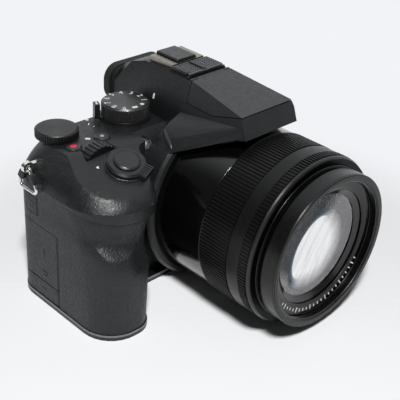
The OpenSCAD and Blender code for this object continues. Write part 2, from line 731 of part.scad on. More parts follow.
// Lens with a bulged front: edge radius, edge reach, thickness at the edge, bulge
module lens_blank(r, z, t, front_bulge, back_bulge) {
    steps = 8;
    rotate_extrude() polygon(concat(
        [for (i = [0:steps]) let (q = i / steps) [r * q, z + t + front_bulge * (1 - q * q)]],
        [for (i = [steps:-1:0]) let (q = i / steps) [r * q, z - back_bulge * (1 - q * q)]]
    ));
}
module front_glass() color("#8fa3b5") on_lens() lens_blank(cell_r - 0.1, cell_reach, 4.1, 3.4, 0);
group_r = inner_bore - run_gap;
group_in = group_r - 12;
group_back = collar_reach + 2;
module zoom_group() color("#9db0bd") on_lens() union() {
    translate([0, 0, group_back]) linear_extrude(7) ring_2d(group_r, group_in);
    lens_blank(group_in + 0.5, group_back + 1, 4, 3, 2);
}
rear_r = root_bore - 7;
module rear_group() color("#9db0bd") on_lens() translate([0, 0, -chassis_y]) union() {
    lens_blank(rear_r, -chassis_t, chassis_t, 2.5, 0);
    translate([0, 0, -chassis_t - 2.6]) cylinder(r = rear_r + 4, h = 2.6);
}

// Inside
chassis_t = 1.5;
battery_lo = [-grip_side + 9.2, -grip_reach + 21.2, base_t + 0.4];
battery_hi = [battery_lo.x + 15, battery_lo.y + 30, seam_h - 13];
cell_wall = 1.2;
cell_gap = 0.3;
card_y = 8;
module chassis() color("#8a8d90") difference() {
    union() {
        block([battery_hi.x, chassis_y, base_t + 1],
            [free_side - front_round - 0.5, chassis_y + chassis_t, battery_hi.z]);
        block([-collar_r + 2, chassis_y, base_t + 1], [collar_r - 2, chassis_y + chassis_t, seam_h - 1]);
        block(battery_lo - [cell_wall + cell_gap, cell_wall + cell_gap, -0.6],
            [battery_hi.x + cell_wall + cell_gap, battery_hi.y + cell_wall + cell_gap, battery_hi.z]);
        block([-grip_side + casing_in + 1.6, battery_hi.y + 1, door_low + 1.6],
            [card_in + 1.6, card_y + 3.4, door_low + door_h - 1.6]);
    }
    block(battery_lo - [cell_gap, cell_gap, 1], battery_hi + [cell_gap, cell_gap, 1]);
    block([-far, card_y - card_gap, card_z - card_gap],
        [card_in, card_y + card_t + card_gap, card_z + card_w + card_gap]);
    lens_rod(rear_r + 0.1, 0, far);
    screw_bores(bore_fit);
}
card_t = 2.1;
card_w = 24;
card_len = 32;
card_gap = 0.15;
card_z = door_low + 2.4;
card_out = -grip_side + casing_in + 1.4;
card_in = card_out + card_len + 0.5;
module memory_card() color("#25406b") block([card_out, card_y, card_z],
    [card_out + card_len, card_y + card_t, card_z + card_w]);
module battery() color("#3d3f42") block(battery_lo, battery_hi - [0, 0, 0.5]);
sensor_y = chassis_y + chassis_t + 2.6;
module image_sensor() color("#4c6b54") union() {
    block([-22, sensor_y, axis_h - 18], [22, sensor_y + 2.2, axis_h + 14]);
    block([-7, sensor_y + 2.2 - eps, axis_h - 5], [7, sensor_y + 2.5, axis_h + 5]);
}
board_y = sensor_y + 2.5;
module main_board() color("#1f5a3a") union() {
    block([-collar_r + 0.8, board_y, base_t + 5.2], [free_side - 7.4, board_y + 1.6, seam_h - 7]);
    for (p = [[-34, 14], [-10, 36], [18, 12]])
        translate([p.x, board_y + 1.6 - eps, p.y]) cube([14, 1.2, 12]);
}
evf_gap = 0.15;
module evf_display() color("#33353a") difference() {
    block([-finder_half + evf_gap, -2.6, finder_low + evf_gap],
        [finder_half - evf_gap, 27, finder_high - evf_gap]);
    block([-9, 2, finder_low + 3], [9, 40, finder_high - 3]);
}
module eyepiece_lens() color("#6f7f8c") block([-11, 27.1, finder_low + 1.6], [11, 30.6, finder_high - 1.6]);
function upright(half, low, high, r) = rounded([[half, low, r], [half, high, r], [-half, high, r],
    [-half, low, r]]);
module upright_slab(half, low, high, r, from, to) {
    translate([0, to, 0]) rotate([90, 0, 0]) linear_extrude(to - from) polygon(upright(half, low, high, r));
}
cup_low = finder_low + 0.6;
cup_high = roof_h - 9.6;
cup_half = 18.4;
module eyecup() color("#121212") difference() {
    union() {
        upright_slab(cup_half - 2.2, cup_low + 1, cup_high - 0.8, 6,
            finder_back + seam_gap, finder_back + 1.6);
        upright_slab(cup_half, cup_low, cup_high, 7.5, finder_back + 1.6 - eps, finder_back + eyecup_t);
    }
    upright_slab(12.6, finder_low + 1.4, finder_high - 1.2, 3, finder_back - 1, finder_back + eyecup_t + 1);
}
diopter_y = finder_back - 5;
diopter_z = deck_h + 3.6;
diopter_stem_r = 1.4;
module diopter_dial() color("#1a1a1b") translate([hump_half - 0.8, diopter_y, diopter_z])
    rotate([0, 90, 0]) {
    linear_extrude(2.2) polygon(toothed(4, 0.35, 20));
    translate([0, 0, -3.4]) cylinder(r = diopter_stem_r, h = 3.5);
}

// Hot shoe and microphone grille
shoe_y = -2.4;
lip_t = 0.7;
shoe_floor = shoe_seat + 1;
shoe_top = shoe_seat + 3.4;
module hot_shoe() color("#b9b2a6") difference() {
    block([-shoe_w / 2, shoe_y, shoe_seat], [shoe_w / 2, shoe_y + shoe_len, shoe_top]);
    block([-shoe_w / 2 + 0.7, shoe_y + 0.8, shoe_floor], [shoe_w / 2 - 0.7, far, shoe_top - lip_t]);
    block([-shoe_slot / 2, shoe_y + 0.8, shoe_floor], [shoe_slot / 2, far, far]);
}
module shoe_cover() color("#191919") union() {
    block([-shoe_w / 2 + 0.95, shoe_y + 1.1, shoe_floor + 0.15],
        [shoe_w / 2 - 0.95, shoe_y + shoe_len, shoe_top - lip_t - 0.15]);
    rotate([90, 0, 0]) translate([0, 0, -shoe_y - shoe_len]) linear_extrude(shoe_len - 1.1) polygon([
        [-shoe_slot / 2 + 0.2, shoe_floor + 0.5], [shoe_slot / 2 - 0.2, shoe_floor + 0.5],
        [shoe_slot / 2 - 0.2, shoe_top + 0.7], [shoe_slot / 2 - 0.8, shoe_top + 1.3],
        [-shoe_slot / 2 + 0.8, shoe_top + 1.3], [-shoe_slot / 2 + 0.2, shoe_top + 0.7]
    ]);
}
grille_seat = roof_h - 0.9;
grille_pitch = 1.5;
module mic_grille() color("#141414") difference() {
    rotate([90, 0, 0]) translate([0, 0, -shoe_y + 0.15]) linear_extrude(lid_back - 0.6 + shoe_y) polygon([
        [-12.4, grille_seat], [12.4, grille_seat], [11.6, roof_h + 0.4], [9, roof_h + 0.9],
        [-9, roof_h + 0.9], [-11.6, roof_h + 0.4]
    ]);
    for (side = [-1, 1]) for (i = [0:3]) for (j = [0:4])
        translate([side * (4.4 + i * grille_pitch), shoe_y - 2.6 - (j + (i % 2) / 2) * grille_pitch, roof_h])
            cylinder(r = 0.45, h = far, $fn = 6);
}

// Flash
module flash_lid() color("#1d1e20") difference() {
    intersection() {
        hump_solid();
        lid_wedge();
    }
    lid_rod(lid_pin_r + run_gap, far);
    block([-flash_bay_half, -flash_reach + 21, hump_foot], [flash_bay_half, lid_edge - 2, roof_h - 3]);
}
module flash_window() color("#d9dde0") difference() {
    block([-flash_bay_half + 1.6, -flash_reach + 8.4, flash_low + 0.6],
        [flash_bay_half - 1.6, -flash_reach + 18, flash_top]);
    lid_wedge();
}
flash_button_r = 2.6;
module on_flash_button() {
    translate([hump_half + 0.2, -7.5, deck_h + 4.2]) rotate([0, 90, 0]) children();
}
module flash_button() color("#222324") on_flash_button() union() {
    translate([0, 0, -2.2]) cylinder(r = flash_button_r, h = 3.4);
    translate([0, 0, 1.2 - eps]) cylinder(r1 = flash_button_r, r2 = flash_button_r - 0.5, h = 0.4);
}

// Top controls
dial_stem_r = 2.5;
cap_in = 0.5;
record_place = [66.2, -0.9];
fn_place = [50.2, -0.9];
lever_t = 0.9;
module mode_dial() color("#1c1c1d") translate([-mode_x, mode_y, deck_h + 2.1]) {
    linear_extrude(mode_h - 0.8) polygon(toothed(mode_r, 0.4, 60));
    translate([0, 0, mode_h - 0.8 - eps])
        cylinder(r1 = mode_r - cap_in, r2 = mode_r - cap_in - 0.6, h = 0.8);
    translate([0, 0, -5.4]) cylinder(r = dial_stem_r, h = 6);
}
lever_angle = 155;
module power_lever() color("#161617") translate([-mode_x, mode_y, deck_h + 1.05]) difference() {
    union() {
        cylinder(r = mode_r + 0.5, h = lever_t);
        rotate([0, 0, lever_angle]) {
            translate([mode_r - 2, -2, 0]) cube([5.8, 4, lever_t]);
            translate([mode_r + 1.1, -2, 0]) cube([2.6, 4, 7.2]);
        }
    }
    translate([0, 0, -1]) cylinder(r = dial_stem_r + button_gap, h = 5);
}
module rear_dial() color("#242527") translate([-rear_dial_x, rear_dial_y, deck_h + 0.35]) {
    linear_extrude(rear_dial_h - 0.5) polygon(toothed(rear_dial_r, 0.4, 52));
    translate([0, 0, rear_dial_h - 0.5 - eps])
        cylinder(r1 = rear_dial_r - cap_in, r2 = rear_dial_r - cap_in - 0.5, h = 0.5);
    translate([0, 0, -4]) cylinder(r = dial_stem_r, h = 4.2);
}
module drive_dial() color("#1c1c1d") translate([drive_x, mode_y, deck_h + 0.35]) {
    linear_extrude(drive_h - 0.7) polygon(toothed(drive_r, 0.4, 48));
    translate([0, 0, drive_h - 0.7 - eps])
        cylinder(r1 = drive_r - cap_in, r2 = drive_r - cap_in - 0.6, h = 0.7);
    translate([0, 0, -4]) cylinder(r = dial_stem_r, h = 4.2);
}
front_dial_z = deck_h + front_dial_proud - front_dial_r;
axle_r = 1.2;
module on_front_dial() {
    translate([-front_dial_x, -front_dial_reach, front_dial_z]) rotate([90, 0, 0]) children();
}
module front_dial() color("#141415") on_front_dial() {
    translate([0, 0, -front_dial_w / 2]) linear_extrude(front_dial_w)
        polygon(toothed(front_dial_r, 0.5, 32));
    translate([0, 0, -front_dial_w / 2 - 1.6]) cylinder(r = axle_r, h = front_dial_w + 3.2);
}
module front_dial_slot() {
    on_front_dial() translate([0, 0, -front_dial_w / 2 - 0.3])
        cylinder(r = front_dial_r + 0.3, h = front_dial_w + 0.6);
    on_front_dial() translate([0, 0, -front_dial_w / 2 - 2])
        cylinder(r = axle_r + 0.06, h = front_dial_w + 4);
}
// Two ears under the deck that carry the front dial's axle
module front_dial_ears() {
    intersection() {
        for (s = [-1, 1])
            translate([-front_dial_x, -front_dial_reach + s * (front_dial_w / 2 + 1.2), 0])
                block([-2.6, -0.9, front_dial_z - 2.6], [2.6, 0.9, deck_h]);
        below_deck(wall / 2);
    }
}
lever_spigot_r = 5.4;
shutter_stem_r = 2.8;
module zoom_lever() color("#2b2c2e") on_platform() difference() {
    union() {
        translate([0, 0, 0.25]) cylinder(r = lever_r, h = 2.2);
        translate([0, 0, 2.45 - eps]) cylinder(r1 = lever_r, r2 = lever_r - 0.9, h = 0.8);
        translate([0, 0, -3]) cylinder(r = lever_spigot_r, h = 3.5);
        rotate([0, 0, -68]) translate([lever_r - 1.6, -4, 0.25]) cube([3.6, 8, 2.9]);
    }
    translate([0, 0, 1.4]) cylinder(r = shutter_r + button_gap, h = far);
    translate([0, 0, -far / 2]) cylinder(r = shutter_stem_r + button_gap, h = far);
}
module shutter_button() color("#303134") on_platform() {
    translate([0, 0, 2.7]) cylinder(r = shutter_r, h = 1.1);
    translate([0, 0, 3.8 - eps]) cylinder(r1 = shutter_r, r2 = shutter_r - 0.8, h = 0.5);
    translate([0, 0, -3.4]) cylinder(r = shutter_stem_r, h = 6.2);
}
// Deck button: cap in its hole and a flange that holds it under the deck
module deck_button(place, r) {
    translate([-place.x, place.y, deck_h]) {
        translate([0, 0, -wall * 1.1 - 0.5]) cylinder(r = r, h = wall * 1.1 + 0.9);
        translate([0, 0, 0.4 - eps]) cylinder(r1 = r, r2 = r - 0.5, h = 0.4);
        translate([0, 0, -wall * 1.1 - 1.3]) cylinder(r = r + 0.4, h = 0.9);
    }
}
module record_button() color("#2c2c2e") deck_button(record_place, record_r);
module fn_button() color("#2c2c2e") deck_button(fn_place, fn_r);
// Focus-assist lamp on the sloped panel
lamp_r = 3.1;
lamp_depth = 2.4;
module on_panel() {
    translate([-33, -body_front + 0.5 + 4.2, panel_low + 4.2]) rotate([45, 0, 0]) children();
}
module af_lamp() color("#c9c2b2") on_panel() union() {
    translate([0, 0, -lamp_depth]) cylinder(r = lamp_r, h = lamp_depth - 0.1);
    translate([0, 0, -0.12]) cylinder(r1 = lamp_r, r2 = lamp_r - 1.6, h = 0.7);
}

// Rear controls: x, z, radius
lock_place = [-41, 46.5, 3.8];
play_place = [-38, 33, 3];
pad_place = [-55, 22, 10.5];
rear_buttons = [lock_place, play_place, pad_place];
module on_rear(b) {
    translate([b.x, body_back, b.y]) rotate([-90, 0, 0]) children();
}
module rear_hole(b, g) {
    on_rear(b) translate([0, 0, -far / 2]) cylinder(r = b.z + g, h = far / 2 + 5);
}
// Rear button: local z points out of the back
module rear_cap(b, proud) {
    translate([0, 0, -casing_in - 0.4]) cylinder(r = b.z, h = casing_in + 0.4 + proud - 0.3);
    translate([0, 0, proud - 0.3 - eps]) cylinder(r1 = b.z, r2 = b.z - 0.4, h = 0.3);
    translate([0, 0, -casing_in - 1.2]) cylinder(r = b.z + 0.8, h = 0.9);
}
lever_out = 7.6;
module lock_button() color("#202122") on_rear(lock_place) rear_cap(lock_place, 2.2);
module focus_lever() color("#26272a") on_rear(lock_place) difference() {
    union() {
        translate([0, 0, 0.25]) cylinder(r = lever_out, h = 1.1);
        rotate([0, 0, 120]) translate([lever_out - 1, -1.3, 0.25]) cube([2.6, 2.6, 2]);
    }
    translate([0, 0, -1]) cylinder(r = lock_place.z + button_gap, h = far);
}
module play_button() color("#202122") on_rear(play_place) rear_cap(play_place, 0.9);
pad_in = 4.6;
module pad_ring() color("#242527") on_rear(pad_place) difference() {
    rear_cap(pad_place, 1.2);
    translate([0, 0, -far / 2]) cylinder(r = pad_in + button_gap, h = far);
}
module pad_centre() color("#2b2c2e") on_rear(pad_place) {
    translate([0, 0, -casing_in - 2.2]) cylinder(r = pad_in, h = casing_in + 3.2);
    translate([0, 0, -casing_in - 3]) cylinder(r = pad_in + 0.8, h = 1);
}

// Doors
module card_door() color("#2a2b2d") door_leaf(card_lo, card_hi, -grip_side);
module remote_cover() color("#262729") door_leaf(remote_lo, remote_hi, -grip_side);
module dc_cover() color("#262729") door_leaf(dc_lo, dc_hi, -grip_side);
module port_cover() color("#1e1f21") door_leaf(port_lo, port_hi, free_side);
bat_door_lo = [-79.4, -29.6];
bat_door_hi = [-57.6, 9.6];
bat_axis_x = bat_door_hi.x - base_t / 2;
module battery_leaf(g) {
    block([bat_door_lo.x - g, bat_door_lo.y - g, -1 * (g > 0 ? 1 : 0)],
        [bat_axis_x, bat_door_hi.y + g, base_t + (g > 0 ? 1 : 0)]);
}
module battery_rod(r, extra) {
    translate([bat_axis_x, bat_door_hi.y + extra, base_t / 2]) rotate([90, 0, 0])
        cylinder(r = r, h = bat_door_hi.y - bat_door_lo.y + 2 * extra);
}
module battery_cut() {
    battery_leaf(door_gap);
    battery_rod(base_t / 2 + door_gap, door_gap);
    block([bat_axis_x - 1, bat_door_lo.y - door_gap, -1],
        [bat_axis_x + base_t / 2 + door_gap, bat_door_hi.y + door_gap, base_t / 2]);
    block([bat_axis_x - 1, bat_door_lo.y - door_gap, base_t / 2 - eps],
        [bat_axis_x + base_t / 2 + door_gap, bat_door_hi.y + door_gap, base_t + 1]);
}
battery_pin_r = 0.6;
module battery_pin(g) {
    battery_rod(battery_pin_r + g, 3);
}
module battery_door() color("#232425") difference() {
    union() {
        battery_leaf(0);
        battery_rod(base_t / 2, 0);
    }
    battery_rod(battery_pin_r + run_gap, 1);
}

// Monitor on its upright hinge
module monitor_pin(g) {
    translate([monitor_hinge_x, monitor_hinge_y, monitor_low + 1])
        cylinder(r = monitor_pin_r + g, h = monitor_h - 2.4);
}
frame_lo = [bay_lo.x + monitor_gap, body_back - monitor_t, monitor_low];
frame_hi = [monitor_hinge_x - 0.1 - monitor_gap, body_back, monitor_low + monitor_h];
screen_lo = [frame_lo.x + 6, frame_hi.y - 1.2, frame_lo.z + 3.4];
screen_hi = [frame_hi.x - 5.5, frame_hi.y - 0.2, frame_hi.z - 3.4];
knuckle_lo = monitor_low + ear_len + 0.1;
knuckle_hi = monitor_low + monitor_h - ear_len - 0.3;
module monitor() color("#1a1b1c") difference() {
    union() {
        difference() {
            block(frame_lo, frame_hi);
            for (z = [frame_lo.z - 1, knuckle_hi + 0.01])
                block([monitor_hinge_x - 3.2, -far, z], [far, far, z < knuckle_lo ? knuckle_lo : far]);
        }
        translate([monitor_hinge_x, monitor_hinge_y, knuckle_lo])
            cylinder(r = monitor_knuckle, h = knuckle_hi - knuckle_lo);
        block([monitor_hinge_x - 3, body_back - 1.4, knuckle_lo],
            [monitor_hinge_x, body_back + 0.3, knuckle_hi]);
    }
    translate([monitor_hinge_x, monitor_hinge_y, 0]) cylinder(r = monitor_pin_r + run_gap, h = far);
    block([screen_lo.x - 0.1, screen_lo.y - 0.1, screen_lo.z - 0.1],
        [screen_hi.x + 0.1, far, screen_hi.z + 0.1]);
}
module screen() color("#0a0c10") block(screen_lo, screen_hi);
module hinge_pins() color("#b4b7ba") {
    monitor_pin(0);
    lid_rod(lid_pin_r, lid_pin_half);
    battery_rod(battery_pin_r, 2.8);
}

// Straps
lug_y = 5.5;
lug_z = seam_h + 8.6;
lug_out = 1.8;
ring_wire = 0.8;
ring_side = 12.2;
ring_bend = 2;
lap = 0.15;
eye_r = 1.5;
module on_lug(side) {
    x = side < 0 ? -grip_side - lug_out : free_side + lug_out;
    translate([x, lug_y, lug_z]) mirror([side < 0 ? 0 : 1, 0, 0]) children();
}
// Eyelet: a round eye on a stem that goes into the shoulder
module lug_shape(g) {
    rotate([90, 0, 0]) translate([0, 0, -1.1 - g]) linear_extrude(2.2 + 2 * g) difference() {
        union() {
            circle(r = 2.7 + g);
            translate([0, -1.5 - g]) square([10, 3 + 2 * g]);
        }
        if (g == 0) circle(r = eye_r);
    }
}
module lug_holes() {
    for (side = [-1, 1]) on_lug(side) lug_shape(0.05);
}
module strap_lugs() color("#c8cacc") for (side = [-1, 1]) on_lug(side) lug_shape(0);
// Triangular wire ring that hangs from the eye, with its flat guard
function ring_corner(i)
    = let (a = 90 + 120 * i, r = (ring_side - 2 * ring_bend) / sqrt(3)) [r * cos(a), r * sin(a)];
module strap_ring(side) {
    drop = (ring_side - 2 * ring_bend) / sqrt(3) + ring_bend;
    on_lug(side) rotate([0, 0, 90]) rotate([90, 0, 0]) translate([0, -drop, 0]) {
        for (i = [0:2]) {
            p = ring_corner(i);
            q = ring_corner((i + 1) % 3);
            out = unit(p + q) * ring_bend;
            translate([p.x + out.x, p.y + out.y, 0]) rotate([0, 0, atan2(q.y - p.y, q.x - p.x)])
                rotate([0, 90, 0])
                translate([0, 0, -lap]) cylinder(r = ring_wire - eps, h = norm(q - p) + 2 * lap);
            translate([p.x, p.y, 0]) rotate([0, 0, 30 + 120 * i]) rotate_extrude(angle = 120)
                translate([ring_bend, 0]) circle(r = ring_wire);
        }
    }
}
module strap_ring_grip() color("#c8cacc") strap_ring(-1);
module strap_ring_free() color("#c8cacc") strap_ring(1);

// Base
socket_r = 6;
module tripod_socket() color("#a9acae") difference() {
    cylinder(r = socket_r, h = tripod_depth + 2);
    translate([0, 0, -1]) cylinder(r = tripod_r, h = tripod_depth + 1);
}
screw_r = 0.9;
screw_head_r = 1.9;
screw_head_top = 1.5;
screw_places = [[-48, 13], [46, 12], [44, -11], [-47, -10]];
bore_fit = 0.03;
module screw_bores(g) {
    for (p = screw_places) translate([p.x, p.y, -1]) cylinder(r = screw_r + g, h = screw_len + 1.5);
}
screw_len = 5;
module base_screws() color("#55585b") for (p = screw_places) translate([p.x, p.y, 0.3]) difference() {
    union() {
        cylinder(r = screw_head_r, h = screw_head_top - 0.3);
        cylinder(r = screw_r, h = screw_len);
    }
    for (a = [0, 90]) rotate([0, 0, a]) translate([-1.2, -0.2, -1]) cube([2.4, 0.4, 1.5]);
}

front_shell();
rear_cover();
top_cover();
base_plate();
grip_skin();
lens_collar();
lens_barrel();
front_band();
rear_group();
image_sensor();
main_board();
chassis();
battery();
memory_card();
evf_display();
eyepiece_lens();
eyecup();
hot_shoe();
mic_grille();
af_lamp();
strap_lugs();
tripod_socket();
base_screws();
hinge_pins();
zoom_ring();
focus_ring();
front_barrel();
front_trim();
front_glass();
zoom_group();
mode_dial();
power_lever();
rear_dial();
drive_dial();
front_dial();
shutter_button();
zoom_lever();
record_button();
fn_button();
flash_lid();
flash_window();
flash_button();
shoe_cover();
card_door();
remote_cover();
dc_cover();
battery_door();
port_cover();
monitor();
screen();
lock_button();
focus_lever();
pad_ring();
pad_centre();
play_button();
diopter_dial();
strap_ring_grip();
strap_ring_free();
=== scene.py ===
"""Looks of the bridge camera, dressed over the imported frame."""

import math

import bmesh
import bpy
from mathutils import Matrix, Vector
from mathutils.bvhtree import BVHTree


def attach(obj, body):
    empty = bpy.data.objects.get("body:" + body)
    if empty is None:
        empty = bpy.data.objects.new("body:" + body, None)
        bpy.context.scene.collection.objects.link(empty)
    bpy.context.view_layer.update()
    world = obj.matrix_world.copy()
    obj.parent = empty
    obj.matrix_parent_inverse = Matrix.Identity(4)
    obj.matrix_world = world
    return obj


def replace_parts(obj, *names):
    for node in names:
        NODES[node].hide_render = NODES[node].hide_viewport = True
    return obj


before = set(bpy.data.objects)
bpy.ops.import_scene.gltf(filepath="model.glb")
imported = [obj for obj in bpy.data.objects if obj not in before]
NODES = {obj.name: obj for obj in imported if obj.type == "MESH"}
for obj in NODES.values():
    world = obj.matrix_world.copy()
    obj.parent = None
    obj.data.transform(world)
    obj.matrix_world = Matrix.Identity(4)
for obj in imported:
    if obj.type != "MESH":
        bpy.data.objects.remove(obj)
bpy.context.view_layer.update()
MM = 0.001
ROOT = "camera_body"

# Sizes that the part and its looks share, in millimetres
AXIS_H = 41.8
DECK_H = 75.4
MODE_DIAL = (-28.2, 9.4)
MODE_TOP = 83.8
REAR_DIAL = (-64.8, 13.0)
DRIVE_DIAL = (33.0, 9.4)
RECORD_BUTTON = (-66.2, -0.9)
FN_BUTTON = (-50.2, -0.9)
SHUTTER = (-54.3, -22.5, 71.2)
PAD_CENTRE = (-55.0, 22.0)
PAD_MARK_R = 7.6
FRONT_GLASS_R = 24.9
RING_R = 40.7
RIB_DEPTH = 0.55
LUG_X = {"grip": -86.0, "free": 55.2}
LUG_Y = 5.5
RING_CENTRE_Z = 62.87

# Viewpoint of the photograph, for a frame of 400 x 400
FRAME_PX = 400
FOCAL_PX = 899.6
SENSOR_MM = 36
AZIMUTH, ELEVATION, ROLL = -45.69, 30.58, 3.44
EYE = Vector((-276.0, -284.9, 258.6)) * MM

# Directions of rays that find a surface, and where those start, outside the part
DOWN, FROM_GRIP, FROM_FREE, FROM_BACK = (0, 0, -1), (1, 0, 0), (-1, 0, 0), (0, -1, 0)
GRIP_FAR, FREE_FAR, BACK_FAR = -95, 70, 60


def turn(degrees, axis="Z"):
    return Matrix.Rotation(math.radians(degrees), 4, axis)


def shift(x, y, z):
    return Matrix.Translation((x, y, z))


# Frames of the sub-assemblies: local Z points out of the surface that carries the detail
LENS = Matrix(((1, 0, 0, 0), (0, 0, -1, 0), (0, 1, 0, AXIS_H), (0, 0, 0, 1)))
PLATFORM = shift(*SHUTTER) @ turn(-4.6, "Y") @ turn(17.5, "X")


# Material building blocks

class Shader:
    """A node material with short helpers; coordinates are the part's frame in metres."""

    def __init__(self, name):
        self.material = bpy.data.materials.new(name)
        self.material.use_nodes = True
        self.tree = self.material.node_tree
        self.bsdf = self.tree.nodes["Principled BSDF"]
        self.coord = self.node("ShaderNodeTexCoord")

    def node(self, kind, **inputs):
        made = self.tree.nodes.new(kind)
        for key, value in inputs.items():
            made.inputs[key.replace("_", " ")].default_value = value
        return made

    def join(self, source, target):
        self.tree.links.new(source, target)

    def set(self, **inputs):
        for key, value in inputs.items():
            self.bsdf.inputs[key.replace("_", " ")].default_value = value

    def place(self, stretch=(1, 1, 1), origin=(0, 0, 0)):
        """Object coordinates about an origin in millimetres, stretched along the axes."""
        mapping = self.node("ShaderNodeMapping")
        mapping.inputs["Scale"].default_value = stretch
        mapping.inputs["Location"].default_value = [-o * s * MM for o, s in zip(origin, stretch)]
        self.join(self.coord.outputs["Object"], mapping.inputs["Vector"])
        return mapping.outputs["Vector"]

    def noise(self, size_mm, detail=3.0, stretch=(1, 1, 1)):
        tex = self.node("ShaderNodeTexNoise", Scale=1 / (size_mm * MM), Detail=detail)
        self.join(self.place(stretch), tex.inputs["Vector"])
        return tex.outputs["Fac"]

    def cells(self, size_mm, feature="F1", stretch=(1, 1, 1)):
        tex = self.node("ShaderNodeTexVoronoi", Scale=1 / (size_mm * MM))
        tex.feature = feature
        self.join(self.place(stretch), tex.inputs["Vector"])
        return tex.outputs["Distance"]

    def rings(self, pitch_mm, origin):
        """Slightly uneven circles about an upright axis."""
        tex = self.node("ShaderNodeTexWave", Scale=1 / (pitch_mm * MM) / math.tau, Distortion=0.4, Detail=2.0)
        tex.wave_type = "RINGS"
        tex.rings_direction = "Z"
        self.join(self.place(origin=origin), tex.inputs["Vector"])
        return tex.outputs["Fac"]

    def distance(self, keep, origin):
        """Distance in metres from an origin, measured along the kept axes only."""
        length = self.node("ShaderNodeVectorMath")
        length.operation = "LENGTH"
        self.join(self.place(keep, origin), length.inputs[0])
        return length.outputs["Value"]

    def stops(self, source, stops):
        """Colour ramp through (position, colour) stops."""
        ramp = self.node("ShaderNodeValToRGB")
        elements = ramp.color_ramp.elements
        while len(elements) < len(stops):
            elements.new(0.5)
        for element, (position, colour) in zip(elements, stops):
            element.position = position
            element.color = (*colour, 1)
        self.join(source, ramp.inputs["Fac"])
        return ramp.outputs["Color"]

    def ramp(self, source, low, high, start=0.3, end=0.7):
        return self.stops(source, ((start, low), (end, high)))

    def span(self, source, low, high, start=0.3, end=0.7):
        """Number that goes from low to high while the source goes from start to end."""
        node = self.node("ShaderNodeMapRange")
        for key, value in zip(("From Min", "From Max", "To Min", "To Max"), (start, end, low, high)):
            node.inputs[key].default_value = value
        self.join(source, node.inputs["Value"])
        return node.outputs["Result"]

    def math(self, operation, a, b):
        node = self.node("ShaderNodeMath")
        node.operation = operation
        for socket, value in zip(node.inputs, (a, b)):
            if isinstance(value, (int, float)):
                socket.default_value = value
            else:
                self.join(value, socket)
        return node.outputs["Value"]

    def mix(self, fac, a, b):
        node = self.node("ShaderNodeMix")
        node.data_type = "RGBA"
        self.join(fac, node.inputs["Factor"])
        self.join(a, node.inputs[6])
        self.join(b, node.inputs[7])
        return node.outputs[2]

    def edges(self, radius_mm):
        """Mask that is 1 along convex and concave edges and 0 on flat faces."""
        bevel = self.node("ShaderNodeBevel", Radius=radius_mm * MM)
        bevel.samples = 4
        geometry = self.node("ShaderNodeNewGeometry")
        dot = self.node("ShaderNodeVectorMath")
        dot.operation = "DOT_PRODUCT"
        self.join(bevel.outputs["Normal"], dot.inputs[0])
        self.join(geometry.outputs["Normal"], dot.inputs[1])
        return self.span(self.math("SUBTRACT", 1.0, dot.outputs["Value"]), 0, 1, 0.02, 0.25)

    def colour(self, source):
        self.join(source, self.bsdf.inputs["Base Color"])

    def rough(self, source):
        self.join(source, self.bsdf.inputs["Roughness"])

    def bump(self, source, depth_mm, strength=1.0):
        node = self.node("ShaderNodeBump", Strength=strength, Distance=depth_mm * MM)
        self.join(source, node.inputs["Height"])
        self.join(node.outputs["Normal"], self.bsdf.inputs["Normal"])


def grey(v, tint=0.0):
    """Neutral colour that a tint leans towards blue."""
    return (v, v * (1 + tint / 2), v * (1 + tint))


def plastic(name, tone, rough, grain_mm=0.3, depth_mm=0.02, wear=0.6, tint=0.15, gloss=0.5):
    """Moulded plastic: spark-eroded grain, tone drift, edges rubbed a little lighter."""
    s = Shader(name)
    drift = s.ramp(s.noise(9.0, 4), grey(tone * 0.82, tint), grey(tone * 1.2, tint))
    worn = s.ramp(s.noise(1.2, 3), grey(tone * 1.4, tint), grey(tone * (1.4 + 2 * wear), tint))
    s.colour(s.mix(s.edges(0.3), drift, worn))
    s.rough(s.span(s.noise(2.5, 4), rough - 0.07, rough + 0.07))
    s.bump(s.noise(grain_mm, 2), depth_mm)
    s.set(Specular_IOR_Level=gloss)
    return s.material


def base_plastic(name, tone, rough, highlight_tone):
    """Moulded base: dark sides, and a painted highlight on a strip below their upper edge."""
    s = Shader(name)
    side = s.ramp(s.noise(9.0, 4), grey(tone * 0.82, 0.15), grey(tone * 1.2, 0.15))
    painted_highlight = s.ramp(s.noise(1.2, 3), grey(highlight_tone * 0.8), grey(highlight_tone * 1.2))
    axes = s.node("ShaderNodeSeparateXYZ")
    s.join(s.coord.outputs["Normal"], axes.inputs[0])
    height = s.distance((0, 0, 1), (0, 0, 0))
    # Sides from 1.9 mm up to the top edge, but not the upward faces, carry the painted highlight.
    edge = s.math("MULTIPLY", s.span(height, 0, 1, 1.5 * MM, 1.9 * MM), s.span(axes.outputs["Z"], 1, 0, 0.7, 0.9))
    s.colour(s.mix(edge, side, painted_highlight))
    s.rough(s.span(s.noise(2.5, 4), rough - 0.07, rough + 0.07))
    s.bump(s.noise(0.4, 2), 0.02)
    return s.material


def leatherette(name, tone, rough, gloss):
    """Grip cover: upright wrinkled grain with finer pores between the ridges."""
    s = Shader(name)
    upright = (1, 1, 0.6)
    ridge = s.cells(0.95, "F1", upright)
    crease = s.cells(0.95, "DISTANCE_TO_EDGE", upright)
    low = s.ramp(s.noise(4), grey(tone * 0.5), grey(tone * 0.62))
    high = s.ramp(s.noise(7, 4), grey(tone * 0.85, 0.25), grey(tone * 1.2, 0.25))
    # Creases of the grain are painted darker than the ridges, as shade in them.
    s.colour(s.mix(s.span(crease, 0, 1, 0.0, 0.16), low, high))
    s.rough(s.span(s.noise(1.6, 3), rough - 0.06, rough + 0.08))
    s.bump(s.math("SUBTRACT", s.math("MULTIPLY", s.noise(0.7, 2), 0.5), ridge), 0.16, 0.9)
    s.set(Specular_IOR_Level=gloss)
    return s.material


